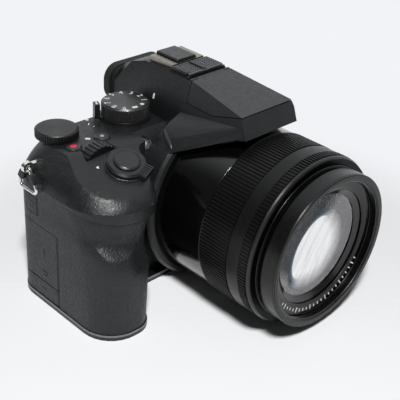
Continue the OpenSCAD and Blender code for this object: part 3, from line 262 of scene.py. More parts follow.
def paint(name, tone, rough, coat=0.0, gloss=0.5):
    """Painted or anodised metal: very fine speckle and faint turning lines round the lens axis."""
    s = Shader(name)
    s.colour(s.ramp(s.noise(0.8, 5), grey(tone * 0.88, 0.04), grey(tone * 1.12, 0.04)))
    s.rough(s.span(s.noise(3.0, 4), rough - 0.05, rough + 0.05))
    s.bump(s.noise(0.18, 2, (0.25, 2.5, 0.25)), 0.004)
    s.set(Coat_Weight=coat, Coat_Roughness=0.08, Specular_IOR_Level=gloss)
    return s.material


def ribbed(name, tone, rough, gloss):
    """Ribbed grip ring: grooves painted near-black as shade, crests a little lighter."""
    s = Shader(name)
    radius = s.distance((1, 0, 1), (0, 0, AXIS_H))
    crest = s.span(radius, 0, 1, (RING_R - RIB_DEPTH) * MM, RING_R * MM)
    # Painted shade: below the crests the colour falls to near-black in the grooves.
    s.colour(s.mix(crest, s.ramp(s.noise(2), grey(0.001), grey(0.002)),
                   s.ramp(s.noise(1.5, 4), grey(tone * 0.8), grey(tone * 1.5))))
    s.rough(s.span(s.noise(2.5, 4), rough - 0.07, rough + 0.07))
    s.bump(s.noise(0.2, 2), 0.008)
    s.set(Specular_IOR_Level=gloss)
    return s.material


def rubber(name, tone, rough):
    """Rubber with fine pores."""
    s = Shader(name)
    s.colour(s.ramp(s.noise(5, 4), grey(tone * 0.8), grey(tone * 1.25)))
    s.rough(s.span(s.noise(1.0, 4), rough - 0.08, rough + 0.05))
    s.bump(s.noise(0.4, 3), 0.02)
    s.set(Specular_IOR_Level=0.35)
    return s.material


def metal(name, colour, rough, line_mm=0.2, stretch=(1, 1, 1)):
    """Bare metal with fine brush lines."""
    s = Shader(name)
    s.colour(s.ramp(s.noise(2.5, 4), tuple(c * 0.82 for c in colour), colour))
    s.rough(s.span(s.noise(1.4, 4), rough - 0.05, rough + 0.08))
    s.bump(s.noise(line_mm, 3, stretch), 0.004)
    s.set(Metallic=1.0)
    return s.material


def turned_cap(name, tone, rough, centre, gloss=0.5):
    """Dial cap with circular turning marks about its own upright axis."""
    s = Shader(name)
    lines = s.rings(0.4, (*centre, 0))
    drift = s.ramp(s.noise(5, 3), grey(tone * 0.85), grey(tone * 1.15))
    worn = s.ramp(s.noise(1), grey(tone * 1.6), grey(tone * 2.4))
    s.colour(s.mix(s.edges(0.2), drift, worn))
    s.rough(s.span(lines, rough - 0.06, rough + 0.06, 0, 1))
    s.bump(lines, 0.005)
    s.set(Anisotropic=0.5, Specular_IOR_Level=gloss)
    return s.material


def glass(name, colour, rough=0.02, ior=1.5, haze=0.02):
    """Clear glass or plastic with faint smears."""
    s = Shader(name)
    s.colour(s.ramp(s.noise(14, 3), tuple(c * 0.97 for c in colour), colour))
    s.rough(s.span(s.noise(6, 4), rough, rough + haze))
    s.set(Transmission_Weight=1.0, IOR=ior)
    return s.material


def painted_lens_glare(name, lean_deg=56, half_length=15.6, half_width=9.4):
    """Element behind the front glass, painted with a reflection: a bright oval of painted glare with one crisp and
    one soft side, colour fringe, and a painted grey zone round it that is lighter on one side.
    """
    s = Shader(name)
    origin = s.place(origin=(-2.5, 0, AXIS_H - 1.0))
    lean = math.radians(lean_deg)

    def along(axis, half_mm):
        dot = s.node("ShaderNodeVectorMath")
        dot.operation = "DOT_PRODUCT"
        dot.inputs[1].default_value = [c / (half_mm * MM) for c in axis]
        s.join(origin, dot.inputs[0])
        return dot.outputs["Value"]

    length = along((math.cos(lean), 0, math.sin(lean)), half_length)
    across = along((math.sin(lean), 0, -math.cos(lean)), half_width)

    def oval_of(width):
        """1 on the rim of the oval, less inside it; a width below 1 draws it out sideways."""
        side = s.math("MULTIPLY", across, width)
        squares = s.math("ADD", s.math("MULTIPLY", length, length), s.math("MULTIPLY", side, side))
        return s.math("SQRT", squares, 0)

    oval = oval_of(1.0)
    streaks = s.node("ShaderNodeTexNoise", Scale=1.0, Detail=2.0)
    lines = s.node("ShaderNodeCombineXYZ")
    s.join(s.math("MULTIPLY", length, 0.5), lines.inputs["X"])
    s.join(s.math("MULTIPLY", across, 2.4), lines.inputs["Y"])
    s.join(lines.outputs[0], streaks.inputs["Vector"])
    # Painted glare: the streaked white of the oval, standing for a reflected soft box; the grey zone round it is
    # painted reflection too.
    painted_glare = s.ramp(streaks.outputs["Fac"], (0.86, 0.86, 0.86), (1.0, 1.0, 1.0), 0.4, 0.52)
    lit = s.math("MAXIMUM", s.span(across, 0, 1, -0.75, 0.25), s.span(length, 1, 0, -1.15, -0.8))
    painted_grey_zone = s.ramp(lit, (0.01, 0.014, 0.016), (0.22, 0.214, 0.22), 0.0, 1.0)
    fringe = s.stops(s.span(oval, 0, 1, 0.98, 1.3), ((0.0, (0.95, 0.8, 0.45)), (0.15, (0.12, 0.2, 0.3)),
                                                    (0.5, (0.03, 0.05, 0.07)), (1.0, (0.02, 0.03, 0.03))))
    side = s.span(across, 0, 1, -0.35, 0.3)
    crisp = s.mix(s.span(oval, 0, 1, 0.96, 1.0), painted_glare, s.mix(s.span(oval, 0, 1, 1.15, 1.35), fringe, painted_grey_zone))
    faded = s.mix(s.span(oval_of(0.55), 0, 1, 0.8, 1.3), painted_glare, painted_grey_zone)
    s.colour(s.mix(side, crisp, faded))
    s.rough(s.span(s.noise(5, 3), 0.02, 0.04))
    s.set(Metallic=1.0)
    return s.material


def printed(name, colour, rough=0.5):
    """Screen-printed ink, slightly uneven."""
    s = Shader(name)
    s.colour(s.ramp(s.noise(0.4, 4), tuple(c * 0.8 for c in colour), colour))
    s.rough(s.span(s.noise(1), rough - 0.1, rough + 0.1))
    s.bump(s.noise(0.15), 0.004)
    return s.material


MATERIALS = {
    "body": plastic("body_plastic", 0.009, 0.42, grain_mm=0.45, depth_mm=0.035),
    "deck": plastic("deck_plastic", 0.009, 0.4, grain_mm=0.85, depth_mm=0.15, gloss=0.4),
    "lid": plastic("lid_plastic", 0.009, 0.4, grain_mm=0.6, depth_mm=0.05, gloss=0.52),
    # Base material: painted highlight along the top of the sides.
    "base": base_plastic("base_plastic", 0.007, 0.36, 0.17),
    "grip": leatherette("grip_leatherette", 0.012, 0.46, 0.42),
    "gloss": paint("barrel_gloss", 0.0015, 0.16, coat=0.25),
    "mesh": plastic("mic_mesh", 0.085, 0.5, grain_mm=0.3),
    "satin": paint("ring_satin", 0.016, 0.34),
    "bezel": paint("bezel_paint", 0.0035, 0.3, gloss=0.34),
    "band": paint("band_satin", 0.012, 0.32, gloss=0.4),
    # Ribbed rings: painted shade in the grooves.
    "rib": ribbed("rib_plastic", 0.006, 0.34, 0.24),
    "control": plastic("control_plastic", 0.006, 0.36, grain_mm=0.2, depth_mm=0.012, wear=0.8),
    "button": plastic("button_satin", 0.010, 0.36, grain_mm=0.25, depth_mm=0.01),
    "mode_cap": turned_cap("mode_dial_cap", 0.018, 0.36, MODE_DIAL, 0.6),
    "rear_cap": turned_cap("rear_dial_cap", 0.006, 0.36, REAR_DIAL, 0.36),
    "drive_cap": turned_cap("drive_dial_cap", 0.022, 0.36, DRIVE_DIAL),
    "rubber": rubber("eyecup_rubber", 0.010, 0.72),
    "guard": rubber("guard_rubber", 0.012, 0.5),
    "shoe": metal("shoe_rail", (0.34, 0.31, 0.27), 0.34, 0.3, (1, 0.05, 1)),
    "chrome": metal("strap_chrome", (0.86, 0.85, 0.83), 0.12),
    "rim": metal("rim_alloy", (0.16, 0.16, 0.165), 0.3),
    "black": paint("groove_black", 0.0015, 0.14, gloss=0.35),
    # Near-black and barely reflective: painted shade in the lens groove and on the band's front face.
    "groove": paint("groove_painted_shade", 0.0012, 0.3, gloss=0.08),
    "steel": metal("plain_steel", (0.5, 0.5, 0.51), 0.35),
    "frame": metal("frame_alloy", (0.5, 0.51, 0.52), 0.5),
    "board": plastic("board_mask", 0.03, 0.4),
    "cell": plastic("cell_wrap", 0.06, 0.5),
    "card": plastic("card_plastic", 0.05, 0.45, tint=0.8),
    "front_glass": glass("front_glass", (1.0, 1.0, 1.0), 0.0, ior=1.02, haze=0.0),
    "inner_glass": glass("inner_glass", (0.85, 0.9, 0.93)),
    # Painted reflection on the element behind the front glass.
    "lens_glare": painted_lens_glare("painted_lens_glare"),
    "lamp": glass("lamp_lens", (0.86, 0.84, 0.78), 0.05),
    "flash": glass("flash_prism", (0.92, 0.93, 0.94), 0.12),
    "screen": paint("screen_glass", 0.006, 0.06, coat=1.0),
    # Near-black discs in the mic pads: painted shade for the holes.
    "hole": paint("hole_painted_shade", 0.0008, 0.7, gloss=0.1),
    "white": printed("ink_white", (0.82, 0.82, 0.8)),
    "red": printed("ink_red", (0.8, 0.02, 0.03), 0.3),
}

NODE_LOOK = {
    "front_shell": "body", "rear_cover": "body", "top_cover": "deck", "base_plate": "base",
    "grip_skin": "grip", "lens_collar": "body", "lens_barrel": "gloss", "front_band": "band",
    "rear_group": "inner_glass", "image_sensor": "frame", "main_board": "board", "chassis": "frame",
    "battery": "cell", "memory_card": "card", "evf_display": "control", "eyepiece_lens": "inner_glass",
    "eyecup": "rubber", "hot_shoe": "shoe", "mic_grille": "control", "af_lamp": "lamp",
    "strap_lugs": "chrome", "tripod_socket": "steel", "base_screws": "steel", "hinge_pins": "steel",
    "zoom_ring": "rib", "focus_ring": "rib", "front_barrel": "bezel", "front_trim": "gloss",
    "front_glass": "front_glass", "zoom_group": "inner_glass", "mode_dial": "mode_cap",
    "power_lever": "control", "rear_dial": "rear_cap", "drive_dial": "drive_cap", "front_dial": "control",
    "shutter_button": "button", "zoom_lever": "control", "record_button": "button", "fn_button": "button",
    "flash_lid": "lid", "flash_window": "flash", "flash_button": "control", "shoe_cover": "control",
    "card_door": "grip", "remote_cover": "grip", "dc_cover": "grip", "battery_door": "base",
    "port_cover": "body", "monitor": "body", "screen": "screen", "lock_button": "control",
    "focus_lever": "control", "pad_ring": "control", "pad_centre": "button", "play_button": "control",
    "diopter_dial": "control", "strap_ring_grip": "chrome", "strap_ring_free": "chrome",
}
# Edge rounding of the CAD nodes that have one, in millimetres
NODE_ROUND = {
    "front_shell": 0.3, "rear_cover": 0.4, "top_cover": 0.45, "base_plate": 0.4, "lens_collar": 0.3,
    "eyecup": 0.7, "flash_lid": 0.45, "monitor": 0.5, "shoe_cover": 0.3,
    "hot_shoe": 0.15, "power_lever": 0.3, "shutter_button": 0.25, "zoom_lever": 0.3, "mic_grille": 0.12,
    "lens_barrel": 0.2, "front_band": 0.2, "front_barrel": 0.25, "card_door": 0.2, "remote_cover": 0.2,
    "dc_cover": 0.2, "port_cover": 0.25, "battery_door": 0.25, "mode_dial": 0.15, "rear_dial": 0.15,
    "drive_dial": 0.15, "record_button": 0.15, "fn_button": 0.15,
}
# The lofts of this node shade best with plain normals; weighted ones make its nose blotchy
PLAIN_NORMALS = ("top_cover",)
SMOOTH_ANGLE = math.radians(31)
ROUND_ANGLE = math.radians(32)
WELD_M = 2e-6


def soft_shade_group():
    """Geometry nodes: joins the seams of a tessellated solid and shades its gentle edges smooth."""
    group = bpy.data.node_groups.new("soft_shade", "GeometryNodeTree")
    for way in ("INPUT", "OUTPUT"):
        group.interface.new_socket("Geometry", in_out=way, socket_type="NodeSocketGeometry")
    chain = [group.nodes.new(kind) for kind in (
        "NodeGroupInput", "GeometryNodeRemoveAttribute", "GeometryNodeMergeByDistance",
        "GeometryNodeSetShadeSmooth", "GeometryNodeSetShadeSmooth", "NodeGroupOutput")]
    for source, target in zip(chain, chain[1:]):
        group.links.new(source.outputs[0], target.inputs[0])
    _, strip, merge, smooth, crease, _ = chain
    strip.inputs["Name"].default_value = "custom_normal"
    merge.inputs["Distance"].default_value = WELD_M
    smooth.domain = "FACE"
    smooth.inputs["Shade Smooth"].default_value = True
    crease.domain = "EDGE"
    crease.inputs["Shade Smooth"].default_value = False
    angle = group.nodes.new("GeometryNodeInputMeshEdgeAngle")
    sharp = group.nodes.new("FunctionNodeCompare")
    sharp.operation = "GREATER_THAN"
    sharp.inputs[1].default_value = SMOOTH_ANGLE
    group.links.new(angle.outputs[0], sharp.inputs[0])
    group.links.new(sharp.outputs[0], crease.inputs["Selection"])
    return group


SOFT_SHADE = soft_shade_group()


def round_edges(obj, width_mm):
    bevel = obj.modifiers.new("round", "BEVEL")
    bevel.width = width_mm * MM
    bevel.segments = 2
    bevel.limit_method = "ANGLE"
    bevel.angle_limit = ROUND_ANGLE
    bevel.use_clamp_overlap = True


def dress(node, look, width_mm):
    """Gives a CAD node its material, joined seams, smooth shading and rounded edges."""
    obj = NODES[node]
    obj.data.materials.clear()
    obj.data.materials.append(MATERIALS[look])
    obj.modifiers.new("soft_shade", "NODES").node_group = SOFT_SHADE
    if width_mm:
        round_edges(obj, width_mm)
    if node not in PLAIN_NORMALS:
        weighted = obj.modifiers.new("normals", "WEIGHTED_NORMAL")
        weighted.keep_sharp = True


for node_name, look_name in NODE_LOOK.items():
    dress(node_name, look_name, NODE_ROUND.get(node_name))


# Mesh building blocks; sizes in millimetres, each piece is scaled to metres when it is linked

def link(name, bm, body, look, round_mm=None):
    """Puts a finished mesh into the scene as a piece that rides on a body."""
    bmesh.ops.recalc_face_normals(bm, faces=bm.faces)
    bmesh.ops.transform(bm, matrix=Matrix.Scale(MM, 4), verts=bm.verts)
    mesh = bpy.data.meshes.new(name)
    bm.to_mesh(mesh)
    bm.free()
    mesh.materials.append(MATERIALS[look])
    piece = bpy.data.objects.new(name, mesh)
    bpy.context.scene.collection.objects.link(piece)
    piece.modifiers.new("soft_shade", "NODES").node_group = SOFT_SHADE
    if round_mm:
        round_edges(piece, round_mm)
    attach(piece, body)
    return piece


def add_prism(bm, outline, low, high, place):
    """Solid between two copies of a flat outline."""
    count = len(outline)
    rows = [[bm.verts.new(place @ Vector((x, y, z))) for x, y in outline] for z in (low, high)]
    bm.faces.new(rows[0][::-1])
    bm.faces.new(rows[1])
    for i in range(count):
        k = (i + 1) % count
        bm.faces.new((rows[0][i], rows[0][k], rows[1][k], rows[1][i]))


def add_lathe(bm, profile, place, steps):
    """Closed profile of (radius, height) pairs turned about local Z."""
    rows = []
    for r, z in profile:
        if r == 0:
            rows.append([bm.verts.new(place @ Vector((0, 0, z)))])
        else:
            rows.append([bm.verts.new(place @ Vector((r * math.cos(a), r * math.sin(a), z)))
                         for a in (math.tau * i / steps for i in range(steps))])
    for row, after in zip(rows, rows[1:] + rows[:1]):
        for i in range(steps):
            k = (i + 1) % steps
            if len(row) == 1 and len(after) == 1:
                break
            if len(row) == 1:
                bm.faces.new((row[0], after[i], after[k]))
            elif len(after) == 1:
                bm.faces.new((row[i], row[k], after[0]))
            else:
                bm.faces.new((row[i], row[k], after[k], after[i]))


def add_torus(bm, radius, wire, place, steps, sides=8):
    """Ring of round wire about local Z."""
    add_lathe(bm, [(radius + wire * math.cos(a), wire * math.sin(a))
                   for a in (math.tau * i / sides for i in range(sides))], place, steps)


def rounded_box(width, height, radius, steps=4):
    """Outline of a rectangle with round corners, about its centre."""
    points = []
    for cx, cy, start in ((1, 1, 0), (-1, 1, 90), (-1, -1, 180), (1, -1, 270)):
        for i in range(steps + 1):
            a = math.radians(start + 90 * i / steps)
            points.append((cx * (width / 2 - radius) + radius * math.cos(a),
                           cy * (height / 2 - radius) + radius * math.sin(a)))
    return points


def disc(radius, steps=24):
    """Outline of a circle about its centre."""
    return [(radius * math.cos(a), radius * math.sin(a)) for a in (math.tau * i / steps for i in range(steps))]


def add_glyph(bm, text, height, place):
    """A plain numeral in Blender's own font, as a thin solid."""
    curve = bpy.data.curves.new("glyph", "FONT")
    curve.body = text
    curve.size = height * 1.35
    curve.extrude = 0.025
    curve.align_x, curve.align_y = "CENTER", "CENTER"
    curve.resolution_u = 3
    holder = bpy.data.objects.new("glyph", curve)
    mesh = bpy.data.meshes.new_from_object(holder)
    mesh.transform(place)
    bm.from_mesh(mesh)
    bpy.data.objects.remove(holder)
    bpy.data.curves.remove(curve)
    bpy.data.meshes.remove(mesh)


SURFACES = {}
DECAL_SUNK = 0.1


def seat(node, start, aim, up=(0, 0, 1), spin=0):
    """Frame on a CAD node's surface where a ray meets it: Z out of the surface, Y towards up."""
    if node not in SURFACES:
        mesh = NODES[node].data
        SURFACES[node] = BVHTree.FromPolygons([v.co for v in mesh.vertices], [p.vertices for p in mesh.polygons])
    aim = Vector(aim).normalized()
    place, normal, _, _ = SURFACES[node].ray_cast(Vector(start) * MM, aim)
    if normal.dot(aim) > 0:
        normal = -normal
    side = Vector(up).cross(normal).normalized()
    axes = Matrix((side, normal.cross(side), normal)).transposed().to_4x4()
    return Matrix.Translation(place / MM) @ axes @ turn(spin)


def decal(name, body, look, marks, thick, round_mm=None):
    """Piece of thin raised marks, each an outline on a frame."""
    bm = bmesh.new()
    for outline, place in marks:
        add_prism(bm, outline, -DECAL_SUNK, thick, place)
    link(name, bm, body, look, round_mm)


# Segments round the glass and round the rings in front of it
GLASS_STEPS, RING_STEPS = 128, 160
# Height of the middle, fall or rise at the rim, and the far side of the two elements
COATED_Z, COATED_RISE, COATED_BACK_Z = 87.2, 2.1, 84.2
CLEAR_Z, CLEAR_FALL, CLEAR_THICK = 91.4, 1.75, 0.25


def lens_details():
    """Coated element behind the front glass, painted with a reflection, thread in the filter bore, plain ticks on
    the front ring.
    """
    bm = bmesh.new()
    bowl = [(r, COATED_Z + COATED_RISE * (r / FRONT_GLASS_R) ** 2)
            for r in (0, 4, 8, 12, 15, 18, 20, 22, 24, FRONT_GLASS_R)]
    add_lathe(bm, bowl + [(FRONT_GLASS_R, COATED_BACK_Z), (0, COATED_BACK_Z)], LENS, GLASS_STEPS)
    link("coated_element", bm, "front_barrel", "lens_glare")
    bm = bmesh.new()
    dome = [(r, CLEAR_Z - CLEAR_FALL * (r / FRONT_GLASS_R) ** 2)
            for r in (0, 4, 8, 12, 16, 19, 22, 23.5, FRONT_GLASS_R)]
    add_lathe(bm, dome + [(r, z - CLEAR_THICK) for r, z in dome[::-1]], LENS, GLASS_STEPS)
    clear = link("front_element", bm, "front_barrel", "front_glass")
    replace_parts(clear, "front_glass")

    bm = bmesh.new()
    add_lathe(bm, [(33.35, 93.02), (33.35, 93.3), (32.7, 93.2), (30, 92.75), (28.2, 92.45), (27.8, 92.2),
                   (27.7, 91.2), (31.4, 93.02)], LENS, RING_STEPS)
    link("name_ring", bm, "front_barrel", "black")

    bm = bmesh.new()
    for i in range(5):
        z = 93.7 + 0.55 * i
        add_lathe(bm, [(33.6, z), (33.2, z + 0.18), (33.2, z + 0.24), (33.6, z + 0.42)], LENS, RING_STEPS)
    link("filter_thread", bm, "front_barrel", "gloss")

    slope = math.degrees(math.atan2(0.95, 5.7))
    marks = []
    for i in range(23):
        length = 2.4 if i % 4 == 1 else 1.4
        place = LENS @ turn(218 + 5 * i) @ shift(30.6, 0, 92.86) @ turn(-slope, "Y")
        marks.append((rounded_box(length, 0.55, 0.2, 2), place))
    decal("name_ring_ticks", "front_barrel", "white", marks, 0.05)

    bm = bmesh.new()
    for r, z in ((32.6, 93.18), (27.85, 92.25)):
        add_torus(bm, r, 0.13, LENS @ shift(0, 0, z), GLASS_STEPS, sides=6)
    link("trim_lines", bm, "front_barrel", "satin")

    # Groove sleeve: near-black and barely reflective, painted shade in the groove.
    bm = bmesh.new()
    add_lathe(bm, [(35.7, 86.9), (36.6, 86.9), (36.1, 87.3), (36.1, 88.8), (36.5, 89.25), (35.7, 89.25)],
              LENS, RING_STEPS)
    link("groove_sleeve", bm, "front_barrel", "groove")

    # Thin near-black disc on the band's front face: a sheet of painted shade.
    bm = bmesh.new()
    add_lathe(bm, [(37.0, 86.35), (39.7, 86.35), (39.7, 86.46), (37.0, 86.46)], LENS, RING_STEPS)
    link("band_face", bm, ROOT, "groove")

    bm = bmesh.new()
    add_torus(bm, 36.6, 0.2, LENS @ shift(0, 0, 96.7), RING_STEPS)
    link("bezel_edge", bm, "front_barrel", "satin")


def deck_details():
    """Dial numerals, index marks, rims of the buttons and the lamp, rib of the panel beside the flash."""
    bm = bmesh.new()
    places, numerals = 11, 9
    for i in range(places):
        spot = shift(*MODE_DIAL, MODE_TOP) @ turn(i * 360 / places - 34) @ shift(8.7, 0, 0) @ turn(-90)
        if i < numerals:
            add_glyph(bm, str(i + 1), 3.1, spot)
        elif i == numerals:
            add_prism(bm, rounded_box(2.6, 1.8, 0.2, 2), -0.03, 0.04, spot)
        else:
            add_prism(bm, disc(1.0), -0.03, 0.04, spot)
    link("mode_numerals", bm, "mode_dial", "white")

    rim = shift(*MODE_DIAL, MODE_TOP - 0.4) @ turn(-125) @ shift(11.25, 0, 0)
    decal("mode_dial_pip", "mode_dial", "white",
          [(rounded_box(0.55, 0.9, 0.2, 2), rim @ turn(40, "Y"))], 0.14)

    index = seat("top_cover", (-40, 3.6, 84.6), FROM_GRIP)
    decal("mode_index", ROOT, "white", [(rounded_box(1.0, 2.6, 0.35), index)], 0.15)

    lever = shift(*MODE_DIAL, 83.65) @ turn(155) @ shift(13.7, 0, 0)
    decal("lever_line", "power_lever", "white", [(rounded_box(0.9, 2.6, 0.2), lever)], 0.05)

    triangle = [(-0.8, -0.7), (0.8, -0.7), (0, 0.8)]
    house = [(-0.9, -0.8), (0.9, -0.8), (0.9, 0.1), (0, 0.8), (-0.9, 0.1)]
    marks = [(outline, seat("top_cover", (x, y, 90), DOWN, (0.7, 0.7, 0))) for x, y, outline in (
        (-44.5, 17.4, disc(0.85)), (-46.6, 13.4, rounded_box(0.5, 1.9, 0.2)), (-46.3, 10.0, disc(0.3, 12)),
        (-56.1, 1.9, rounded_box(2.4, 1.7, 0.5)), (-65.3, -16.9, triangle), (-47.4, -17.3, house))]
    decal("deck_marks", ROOT, "white", marks, 0.05)

    bm = bmesh.new()
    add_lathe(bm, [(0, 76.33), (0.9, 76.3), (1.45, 76.22), (1.6, 76.1), (1.6, 75.9), (0, 75.9)],
              shift(*RECORD_BUTTON, 0), 32)
    link("record_dot", bm, "record_button", "red")
    fn = shift(*FN_BUTTON, 76.2) @ turn(-45)
    decal("fn_mark", "fn_button", "white",
          [(rounded_box(1.7, 0.4, 0.15, 2), fn @ shift(0, y, 0)) for y in (-0.45, 0.45)], 0.04)

    bm = bmesh.new()
    for centre, r in ((RECORD_BUTTON, 4.0), (FN_BUTTON, 3.9)):
        add_torus(bm, r, 0.22, shift(*centre, DECK_H), 48)
    link("button_rims", bm, ROOT, "control")

    bm = bmesh.new()
    add_torus(bm, 9.15, 0.22, PLATFORM @ shift(0, 0, 0.45), 72)
    link("zoom_lever_rim", bm, "zoom_lever", "rim")
    bm = bmesh.new()
    for i in range(6):
        rib = PLATFORM @ turn(-68) @ shift(8.9, -3.25 + 1.3 * i, 3.1)
        add_prism(bm, rounded_box(3.4, 0.55, 0.2, 2), -0.2, 0.35, rib)
    link("zoom_lever_ribs", bm, "zoom_lever", "control")
    bm = bmesh.new()
    add_torus(bm, 5.62, 0.16, PLATFORM @ shift(0, 0, 4.0), 64)
    link("shutter_rim", bm, "shutter_button", "control")

    bm = bmesh.new()
    lamp = shift(-33, -10.3, 70.7) @ turn(45, "X")
    add_torus(bm, 3.35, 0.28, lamp @ shift(0, 0, 0.05), 48)
    link("lamp_rim", bm, ROOT, "control")
    bm = bmesh.new()
    add_lathe(bm, [(2.7, -0.3), (2.2, -0.9), (1.3, -1.5), (0.5, -1.7), (0, -1.7), (0, -1.9), (2.9, -1.9),
                   (2.9, -0.3)], lamp, 32)
    link("lamp_reflector", bm, ROOT, "frame")

    bm = bmesh.new()
    crest = [(-25.6, -15.7, 78.4), (-26.7, -16.6, 77.75), (-29.3, -21.2, 76.1), (-31.0, -25.4, 74.2),
             (-31.5, -26.7, 73.3)]
    half_widths = (0.3, 1.2, 1.5, 1.2, 0.3)
    out = Vector((-0.66, 0.05, 0.75)).normalized()
    side = (Vector(crest[0]) - Vector(crest[-1])).cross(out).normalized()
    count = 9
    rows = [[bm.verts.new(Vector(point) - 0.4 * out + w * (math.cos(a) * side + 0.8 * math.sin(a) * out))
             for a in (math.pi * i / (count - 1) for i in range(count))] for point, w in zip(crest, half_widths)]
    for row, after in zip(rows, rows[1:]):
        for i in range(count):
            k = (i + 1) % count
            bm.faces.new((row[i], row[k], after[k], after[i]))
    bm.faces.new(rows[0])
    bm.faces.new(rows[-1][::-1])
    link("panel_rib", bm, ROOT, "satin")


# Grip cover: the CAD skin, with the crescent that ends the finger hollow worked out of it.
# Sizes in millimetres; angles in degrees about an upright axis inside the grip
GRIP_AXIS = (-68.0, -28.0)
CRESCENT_ANGLE, CRESCENT_Z, CRESCENT_BEND = 252.0, 40.0, 0.0028
GRIP_SWELL, GRIP_DIP = 2.2, 0.8
HOLLOW_SLOPE = 9.5
# Spans over which the relief begins, and over which the swell and the dip die out
BEGIN_ANGLES, SWELL_END_ANGLES, DIP_END_ANGLES = (190, 240), (258, 300), (285, 312)
SWELL_END_BELOW, DIP_END_ABOVE = (1, 32), (6, 14)
WORKED_ANGLES, WORKED_Z = (188, 314), (6, 62)
LONGEST_EDGE = 1.0
SPLIT_ROUNDS = 10
SOFTEN_BEFORE, SOFTEN_AFTER = 10, 4
FACES_OUT = 0.3


def grip_angle(co):
    return math.degrees(math.atan2(co.y - GRIP_AXIS[1], co.x - GRIP_AXIS[0])) % 360


def ease(value, start, end):
    """Smooth step from 0 to 1."""
    t = min(max((value - start) / (end - start), 0.0), 1.0)
    return t * t * (3 - 2 * t)


def grip_relief(co):
    """How far the cover swells below the crescent, or dips above it, in millimetres."""
    angle = grip_angle(co)
    above = co.z - CRESCENT_Z - CRESCENT_BEND * (angle - CRESCENT_ANGLE) ** 2
    begin = ease(angle, *BEGIN_ANGLES)
    low = (1 - min(max(above / HOLLOW_SLOPE, 0.0), 1.0)) ** 2
    swell = GRIP_SWELL * low * (1 - ease(-above, *SWELL_END_BELOW)) * (1 - ease(angle, *SWELL_END_ANGLES))
    dip = GRIP_DIP * (1 - low) * (1 - ease(above, *DIP_END_ABOVE)) * (1 - ease(angle, *DIP_END_ANGLES))
    return begin * (swell - dip)


def halve(edge):
    """Splits an edge in the middle, and each triangle beside it in two."""
    tips = {v for f in edge.link_faces for v in f.verts} - set(edge.verts)
    _, middle = bmesh.utils.edge_split(edge, edge.verts[0], 0.5)
    for face in list(middle.link_faces):
        bmesh.utils.face_split(face, middle, next(v for v in face.verts if v in tips))


def soften(bm, verts, times):
    """Evens out the facets of a patch of vertices."""
    for _ in range(times):
        bmesh.ops.smooth_vert(bm, verts=verts, factor=0.5, use_axis_x=True, use_axis_y=True, use_axis_z=True)
    bm.normal_update()


def grip_cover():
    """Copy of the grip skin, split into small triangles where the hollow is, and worked there."""
    bm = bmesh.new()
    bm.from_mesh(NODES["grip_skin"].data)
    bmesh.ops.transform(bm, matrix=Matrix.Scale(1 / MM, 4), verts=bm.verts)
    bmesh.ops.remove_doubles(bm, verts=bm.verts, dist=WELD_M / MM)

    def worked(co):
        return WORKED_ANGLES[0] < grip_angle(co) < WORKED_ANGLES[1] and WORKED_Z[0] < co.z < WORKED_Z[1]

    def outer(vert):
        away = Vector((vert.co.x - GRIP_AXIS[0], vert.co.y - GRIP_AXIS[1], 0)).normalized()
        return worked(vert.co) and vert.normal.dot(away) > FACES_OUT

    for _ in range(SPLIT_ROUNDS):
        bm.normal_update()
        long = [e for e in bm.edges if e.calc_length() > LONGEST_EDGE
                and worked((e.verts[0].co + e.verts[1].co) / 2) and (outer(e.verts[0]) or outer(e.verts[1]))]
        for edge in sorted(long, key=lambda e: -e.calc_length()):
            halve(edge)
    bm.normal_update()
    skin = [v for v in bm.verts if outer(v)]
    soften(bm, skin, SOFTEN_BEFORE)
    for vert, step in [(v, grip_relief(v.co) * v.normal) for v in skin]:
        vert.co += step
    soften(bm, skin, SOFTEN_AFTER)
    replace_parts(link("grip_wrap", bm, ROOT, "grip"), "grip_skin")


GUARD_OUT, GUARD_UP, GUARD_LEAN = 3.78, 2.18, 30
GUARD_WIDTH, GUARD_LENGTH, GUARD_HALF_THICK = 3.4, 5.0, 1.35


def strap_guards():
    """Black guards on the strap rings that keep the wire off the casing."""
    for side, x in LUG_X.items():
        bm = bmesh.new()
        for way in (-1, 1):
            middle = shift(x, LUG_Y + way * GUARD_OUT, RING_CENTRE_Z + GUARD_UP)
            place = middle @ turn(90, "Z") @ turn(90, "X") @ turn(way * GUARD_LEAN)
            add_prism(bm, rounded_box(GUARD_WIDTH, GUARD_LENGTH, 0.9), -GUARD_HALF_THICK, GUARD_HALF_THICK, place)
        link("ring_guard_" + side, bm, "strap_ring_" + side, "guard", 0.4)


